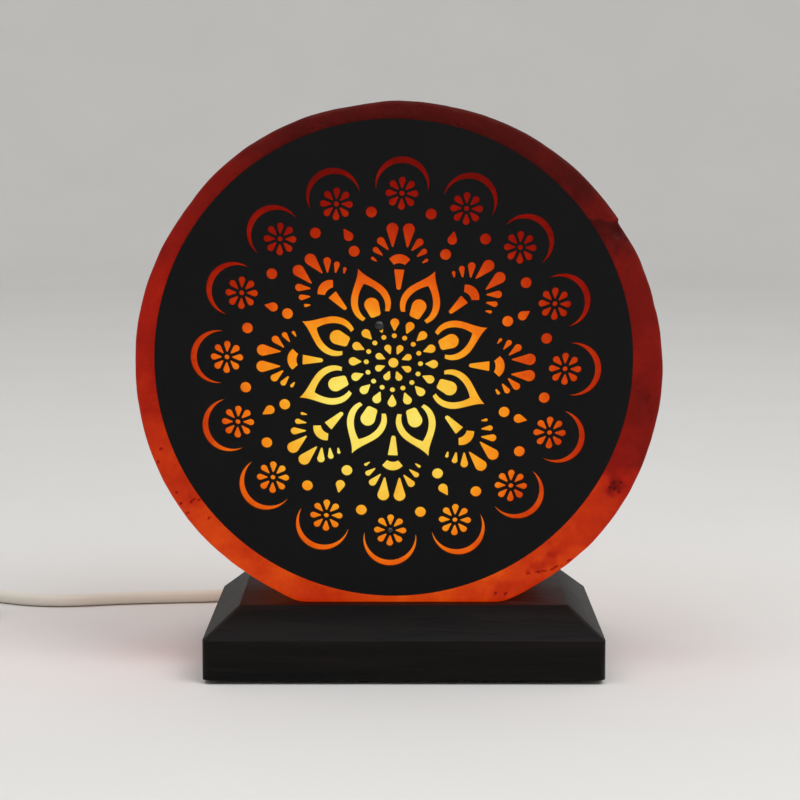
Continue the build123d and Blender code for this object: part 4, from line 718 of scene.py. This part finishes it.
def salt_finish():
    """Lit salt: the colour follows how far the light has come, |place - bulb|, fading faster upright.

    Clouds, grains and specks lengthen or shorten that way, and so darken or brighten it."""
    finish = Finish("salt", IOR=1.54, Specular_IOR_Level=0.08, Emission_Strength=1.0)
    # the way attribute carries the nick's painted shade along with the clouds and chips
    way = finish.add("ShaderNodeAttribute", {"attribute_name": "way"}, {}, "Fac")
    clouds = finish.noise(42, detail=4, roughness=0.62)
    grains = finish.noise(210, detail=5, roughness=0.7)
    facets = finish.cells(330, finish.place + (finish.noise(90, detail=2) - 0.5) * WARP)
    specks = (1 - facets.above(0.05, 0.15)) * finish.noise(40).above(0.54, 0.62)
    pits = finish.noise(520, roughness=0.7).above(0.62, 0.76)
    marks = front_marks(finish)
    away = (finish.place - tuple(c * MM for c in GLOW_CENTRE_MM)) * (1.0, 1.0, GLOW_RISE)
    added = way * MM + (clouds - 0.5) * CLOUD_WAY + (grains - 0.5) * GRAIN_WAY
    added = added + specks * SPECK_WAY + pits * PIT_WAY + marks * MARK_WAY
    stops = [(d * MM / GLOW_REACH, colour(*shade)) for d, shade in GLOW_STOPS]
    glow = finish.ramp((away.length() + added) / GLOW_REACH, stops)
    # where the way is the nick's painted shade, this darker base colour is painted shade too
    darker = (added * DARKENING).above(-0.2, 0.9)
    body = finish.mix(darker, colour(66, 11, 5), colour(30, 5, 3))
    body = finish.mix(marks, body, colour(14, 3, 2))
    raised = grains * 0.55 + facets * 0.35 + finish.noise(1100, detail=2) * 0.2
    relief = raised - pits * 0.5 - specks * 0.5 - marks * 0.7
    finish.varies(Base_Color=body, Emission_Color=glow, Roughness=0.36 + 0.3 * grains + 0.1 * specks)
    return finish.bump(relief, strength=0.6, distance=0.0008)


def coat_finish():
    """Black powder coat: a faint orange-peel relief, and small changes of gloss."""
    finish = Finish("plate_coat", Specular_IOR_Level=0.12)
    patches = finish.noise(45)
    tint = finish.mix(patches, colour(5, 5, 6), colour(11, 11, 12))
    finish.varies(Base_Color=tint, Roughness=0.49 + 0.14 * patches)
    return finish.bump(finish.noise(1500, detail=2), strength=0.12, distance=0.0002)


def pin_finish():
    """Black lacquered steel pin, glossier than the plate."""
    finish = Finish("pin_lacquer", Specular_IOR_Level=0.5)
    wear = finish.noise(900)
    tint = finish.mix(wear, colour(14, 14, 15), colour(30, 29, 28))
    finish.varies(Base_Color=tint, Roughness=0.18 + 0.14 * wear)
    return finish.bump(wear, strength=0.05, distance=0.0001)


def wood_finish():
    """Black-stained wood: long grain along the base's width, open pores, a lacquer that thins a little."""
    finish = Finish("stained_wood", Specular_IOR_Level=0.1)
    thinning = finish.noise(9, detail=2)
    grain = finish.noise(1, detail=4, roughness=0.6, place=finish.stretched(16, 210, 260))
    pores = finish.noise(1, detail=2, roughness=0.5, place=finish.stretched(60, 1400, 1500)).above(0.58, 0.7)
    stain = finish.mix(grain.above(0.3, 0.75), colour(8, 7, 7), colour(21, 17, 15))
    stain = finish.mix(pores * 0.7, stain, colour(4, 4, 4))
    finish.varies(Base_Color=stain, Roughness=0.36 + 0.16 * grain + 0.08 * thinning + 0.1 * pores)
    return finish.bump(grain * 0.6 - pores * 0.7, strength=0.35, distance=0.00025)


def moulded_finish(name, shade, roughness, texture, relief, specular=0.5, spread=10):
    """Moulded plastic or rubber: a fine spark-eroded relief and a slight change of tone."""
    finish = Finish(name, Specular_IOR_Level=specular)
    tone, fine = finish.noise(70), finish.noise(texture, detail=2)
    tint = finish.mix(tone, colour(*shade), colour(*[max(0, c - spread) for c in shade]))
    finish.varies(Base_Color=tint, Roughness=roughness + 0.12 * (fine - 0.5) + 0.08 * tone)
    return finish.bump(fine, strength=relief, distance=0.00015)


def metal_finish(name, shade, roughness):
    """Drawn or plated metal: fine marks drawn out upright and a faint cloudiness."""
    finish = Finish(name, Metallic=1.0)
    marks = finish.noise(1, roughness=0.6, place=finish.stretched(2400, 2400, 480))
    cloud = finish.noise(220)
    dull = [int(DULLNESS * c) for c in shade]
    tint = finish.mix(cloud, colour(*shade), colour(*dull))
    finish.varies(Base_Color=tint, Roughness=roughness + 0.16 * (marks - 0.5) + 0.08 * cloud)
    return finish.bump(marks, strength=0.1, distance=0.0001)


def glass_finish():
    """Clear bulb glass with faint waves from blowing."""
    finish = Finish("bulb_glass", IOR=1.5, Transmission_Weight=0.92)
    waves = finish.noise(120, detail=2)
    tint = finish.mix(waves, colour(250, 248, 244), colour(240, 238, 232))
    finish.varies(Base_Color=tint, Roughness=0.02 + 0.03 * waves)
    return finish.bump(waves, strength=0.05, distance=0.0002)


def filament_finish():
    """A glowing coiled wire: bright and dull turns along it."""
    finish = Finish("filament", Emission_Strength=4.0, Roughness=0.4)
    turns = finish.noise(3000, detail=1)
    finish.varies(Base_Color=finish.mix(turns, colour(120, 96, 70), colour(180, 150, 110)),
                  Emission_Color=finish.mix(turns, colour(255, 190, 110), colour(255, 222, 160)))
    return finish


def sheath_finish():
    """White flexible sheath: smooth, faintly uneven and yellowed a little in places."""
    finish = Finish("lead_sheath", Specular_IOR_Level=0.5)
    age, fine = finish.noise(14), finish.noise(700, detail=2)
    tint = finish.mix(age, colour(236, 233, 224), colour(222, 217, 204))
    finish.varies(Base_Color=tint, Roughness=0.36 + 0.12 * fine)
    return finish.bump(fine, strength=0.08, distance=0.0002)


def tie_finish():
    """Black woven tie: close bumps of thread with painted shade between them, and a little fuzz."""
    finish = Finish("woven_tie", Specular_IOR_Level=0.3, Sheen_Weight=0.4)
    threads, fuzz = finish.cells(1100), finish.noise(2200, detail=2)
    # painted shade: the tint darkens from each thread's middle into the gaps between threads
    tint = finish.mix(threads, colour(34, 34, 36), colour(12, 12, 13))
    finish.varies(Base_Color=tint, Roughness=0.8 + 0.15 * (fuzz - 0.5))
    return finish.bump(1 - threads, strength=0.6, distance=0.0004)


FINISHES = {
    "salt": salt_finish(),
    "plate_paint": coat_finish(),
    "pin_black": pin_finish(),
    "stained_wood": wood_finish(),
    "foot_rubber": moulded_finish("foot_rubber", (26, 26, 27), roughness=0.75, texture=900, relief=0.25,
                                  specular=0.3, spread=6),
    "zinc_steel": metal_finish("zinc_plate", (196, 198, 202), 0.34),
    "spring_steel": metal_finish("spring_steel", (150, 152, 158), 0.26),
    "wall_plug_plastic": moulded_finish("wall_plug_nylon", (148, 150, 154), roughness=0.5, texture=900,
                                        relief=0.2),
    "holder_plastic": moulded_finish("holder_resin", (24, 24, 25), roughness=0.35, texture=1100, relief=0.1,
                                     specular=0.4, spread=8),
    "contact_brass": metal_finish("contact_brass", (214, 176, 104), 0.28),
    "bulb_clear_glass": glass_finish(),
    "insulator_black": moulded_finish("insulator_glass", (16, 16, 20), roughness=0.15, texture=400,
                                      relief=0.05, spread=6),
    "solder": metal_finish("solder", (170, 171, 174), 0.5),
    "filament_wire": filament_finish(),
    "lead_white": sheath_finish(),
    "core_brown": moulded_finish("core_insulation", (110, 66, 42), roughness=0.4, texture=800, relief=0.08),
    "tie_black": tie_finish(),
    "switch_white": moulded_finish("switch_shell", (240, 238, 230), roughness=0.3, texture=1500, relief=0.1,
                                   spread=8),
    "plug_white": moulded_finish("plug_shell", (236, 233, 224), roughness=0.42, texture=1200, relief=0.16,
                                 spread=8),
    "pin_nickel": metal_finish("pin_nickel", (206, 202, 192), 0.2),
    "sleeve_black": moulded_finish("pin_sleeve", (22, 22, 23), roughness=0.45, texture=900, relief=0.1,
                                   specular=0.4, spread=6),
}
SLOTS = {part["node"]: part["material_slot"] for part in frame["record"]["subparts"]}


def dress(piece, slot, body="lamp"):
    """Gives a new piece its finish, its slot and the body that it moves with."""
    piece.data.materials.clear()
    piece.data.materials.append(FINISHES[slot].material)
    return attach(piece, body)


def finish_packed_pieces():
    """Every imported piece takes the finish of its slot."""
    for name, node in nodes.items():
        for place in node.material_slots:
            place.material = FINISHES[SLOTS[name]].material


def ease_packed_pieces():
    """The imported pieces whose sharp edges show, by name, with those edges rounded."""
    made = {}
    for node, width in EASED_MM.items():
        body = "rocker" if node == "switch_rocker" else "lamp"
        piece = eased(node, width * MM)
        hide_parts(node)
        made[node] = dress(piece, SLOTS[node], body)
    return made


# ---------------------------------------------------------------- studio


def floor_finish():
    """Pale floor that keeps the lamp's shadow, with a faint mottle."""
    finish = Finish("pale_floor", Specular_IOR_Level=0.1)
    mottle = finish.noise(6)
    tint = finish.mix(mottle, colour(232, 231, 229), colour(226, 225, 223))
    finish.varies(Base_Color=tint, Roughness=0.85 + 0.05 * mottle)
    return finish.material


def pale_floor():
    """A round floor whose rim curves up: level out to its radius, then a quarter circle, then straight up.

    The upper pole's faces, which would be a lid, are left out."""
    t = np.linspace(0, math.pi / 2, COVE_ROWS)
    bend = FLOOR_RADIUS + COVE_RADIUS * np.sin(t)
    out = np.concatenate([[FLOOR_RADIUS / 2], bend, [FLOOR_RADIUS + COVE_RADIUS]])[:, None]
    up = np.concatenate([[0], COVE_RADIUS * (1 - np.cos(t)), [COVE_RADIUS + COVE_HEIGHT]])[:, None]
    a = np.arange(COVE_COLUMNS) * 2 * math.pi / COVE_COLUMNS
    grid = np.stack([out * np.cos(a), out * np.sin(a), up + 0 * a], -1)
    lid = len(out) * COVE_COLUMNS + 1
    faces = [f for f in wrapped_faces(len(out), COVE_COLUMNS) if lid not in f]
    piece = add_piece("floor", np.concatenate([grid.reshape(-1, 3), np.zeros((2, 3))]), faces)
    piece.data.materials.append(floor_finish())


def soft_lamp(name, place, size, power):
    """A square soft light that points at the middle of the object."""
    light = bpy.data.lights.new(name, "AREA")
    light.size, light.energy = size, power
    source = bpy.data.objects.new(name, light)
    source.location = place
    towards = Vector(LAMP_AIM) - Vector(place)
    source.rotation_euler = towards.to_track_quat("-Z", "Y").to_euler()
    bpy.context.scene.collection.objects.link(source)


def studio():
    """A plain pale room: even light from all round, a soft lamp at the upper right, a weaker one at the left.

    Camera and reflections see a fixed grey in place of the even light."""
    scene = bpy.context.scene
    scene.view_settings.view_transform = "Standard"
    scene.world = bpy.data.worlds.new("room")
    scene.world.use_nodes = True
    tree = scene.world.node_tree
    even = tree.nodes["Background"]
    even.inputs["Color"].default_value = (1, 1, 1, 1)
    even.inputs["Strength"].default_value = ROOM_LIGHT
    seen = tree.nodes.new("ShaderNodeBackground")
    seen.inputs["Color"].default_value = (ROOM_SEEN, ROOM_SEEN, ROOM_SEEN, 1)
    rays = tree.nodes.new("ShaderNodeLightPath")
    either = tree.nodes.new("ShaderNodeMath")
    either.operation = "MAXIMUM"
    choose = tree.nodes.new("ShaderNodeMixShader")
    links = [
        (rays.outputs["Is Camera Ray"], either.inputs[0]), (rays.outputs["Is Glossy Ray"], either.inputs[1]),
        (either.outputs[0], choose.inputs[0]), (even.outputs[0], choose.inputs[1]),
        (seen.outputs[0], choose.inputs[2]),
        (choose.outputs[0], tree.nodes["World Output"].inputs["Surface"]),
    ]
    for source, target in links:
        tree.links.new(source, target)
    pale_floor()
    for lamp in SOFT_LAMPS:
        soft_lamp(*lamp)


def photo_camera():
    """The photograph's camera."""
    camera = bpy.data.cameras.new("photo_camera")
    camera.lens, camera.sensor_width = CAMERA_LENS, SENSOR_WIDTH
    piece = bpy.data.objects.new("photo_camera", camera)
    piece.location = [c * MM for c in CAMERA_PLACE_MM]
    piece.rotation_euler = (math.radians(90 - CAMERA_DOWN), 0, math.radians(CAMERA_TURN))
    bpy.context.scene.collection.objects.link(piece)
    bpy.context.scene.camera = piece


# ---------------------------------------------------------------- the lamp

photo_camera()
finish_packed_pieces()
done = ease_packed_pieces()

to_switch = dress(cord("lead_to_switch_cord", LEAD_TO_SWITCH, steps=12), "lead_white")
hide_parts("lead_to_switch")
switch = [done[n] for n in ("switch_lower_housing", "switch_upper_housing", "switch_rocker",
                            "switch_strain_reliefs")]
switch += [nodes[n] for n in ("switch_screws", "switch_bridge", "switch_contacts", "switch_cores")]

route = LEAD_TO_COIL + coil_points() + LEAD_TO_PLUG
to_plug = dress(cord("lead_to_plug_cord", route, steps=6), "lead_white")
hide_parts("lead_to_coil", "lead_coil", "lead_to_plug")

salt = dress(salt_block(), "salt")
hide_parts("salt_disc")

studio()
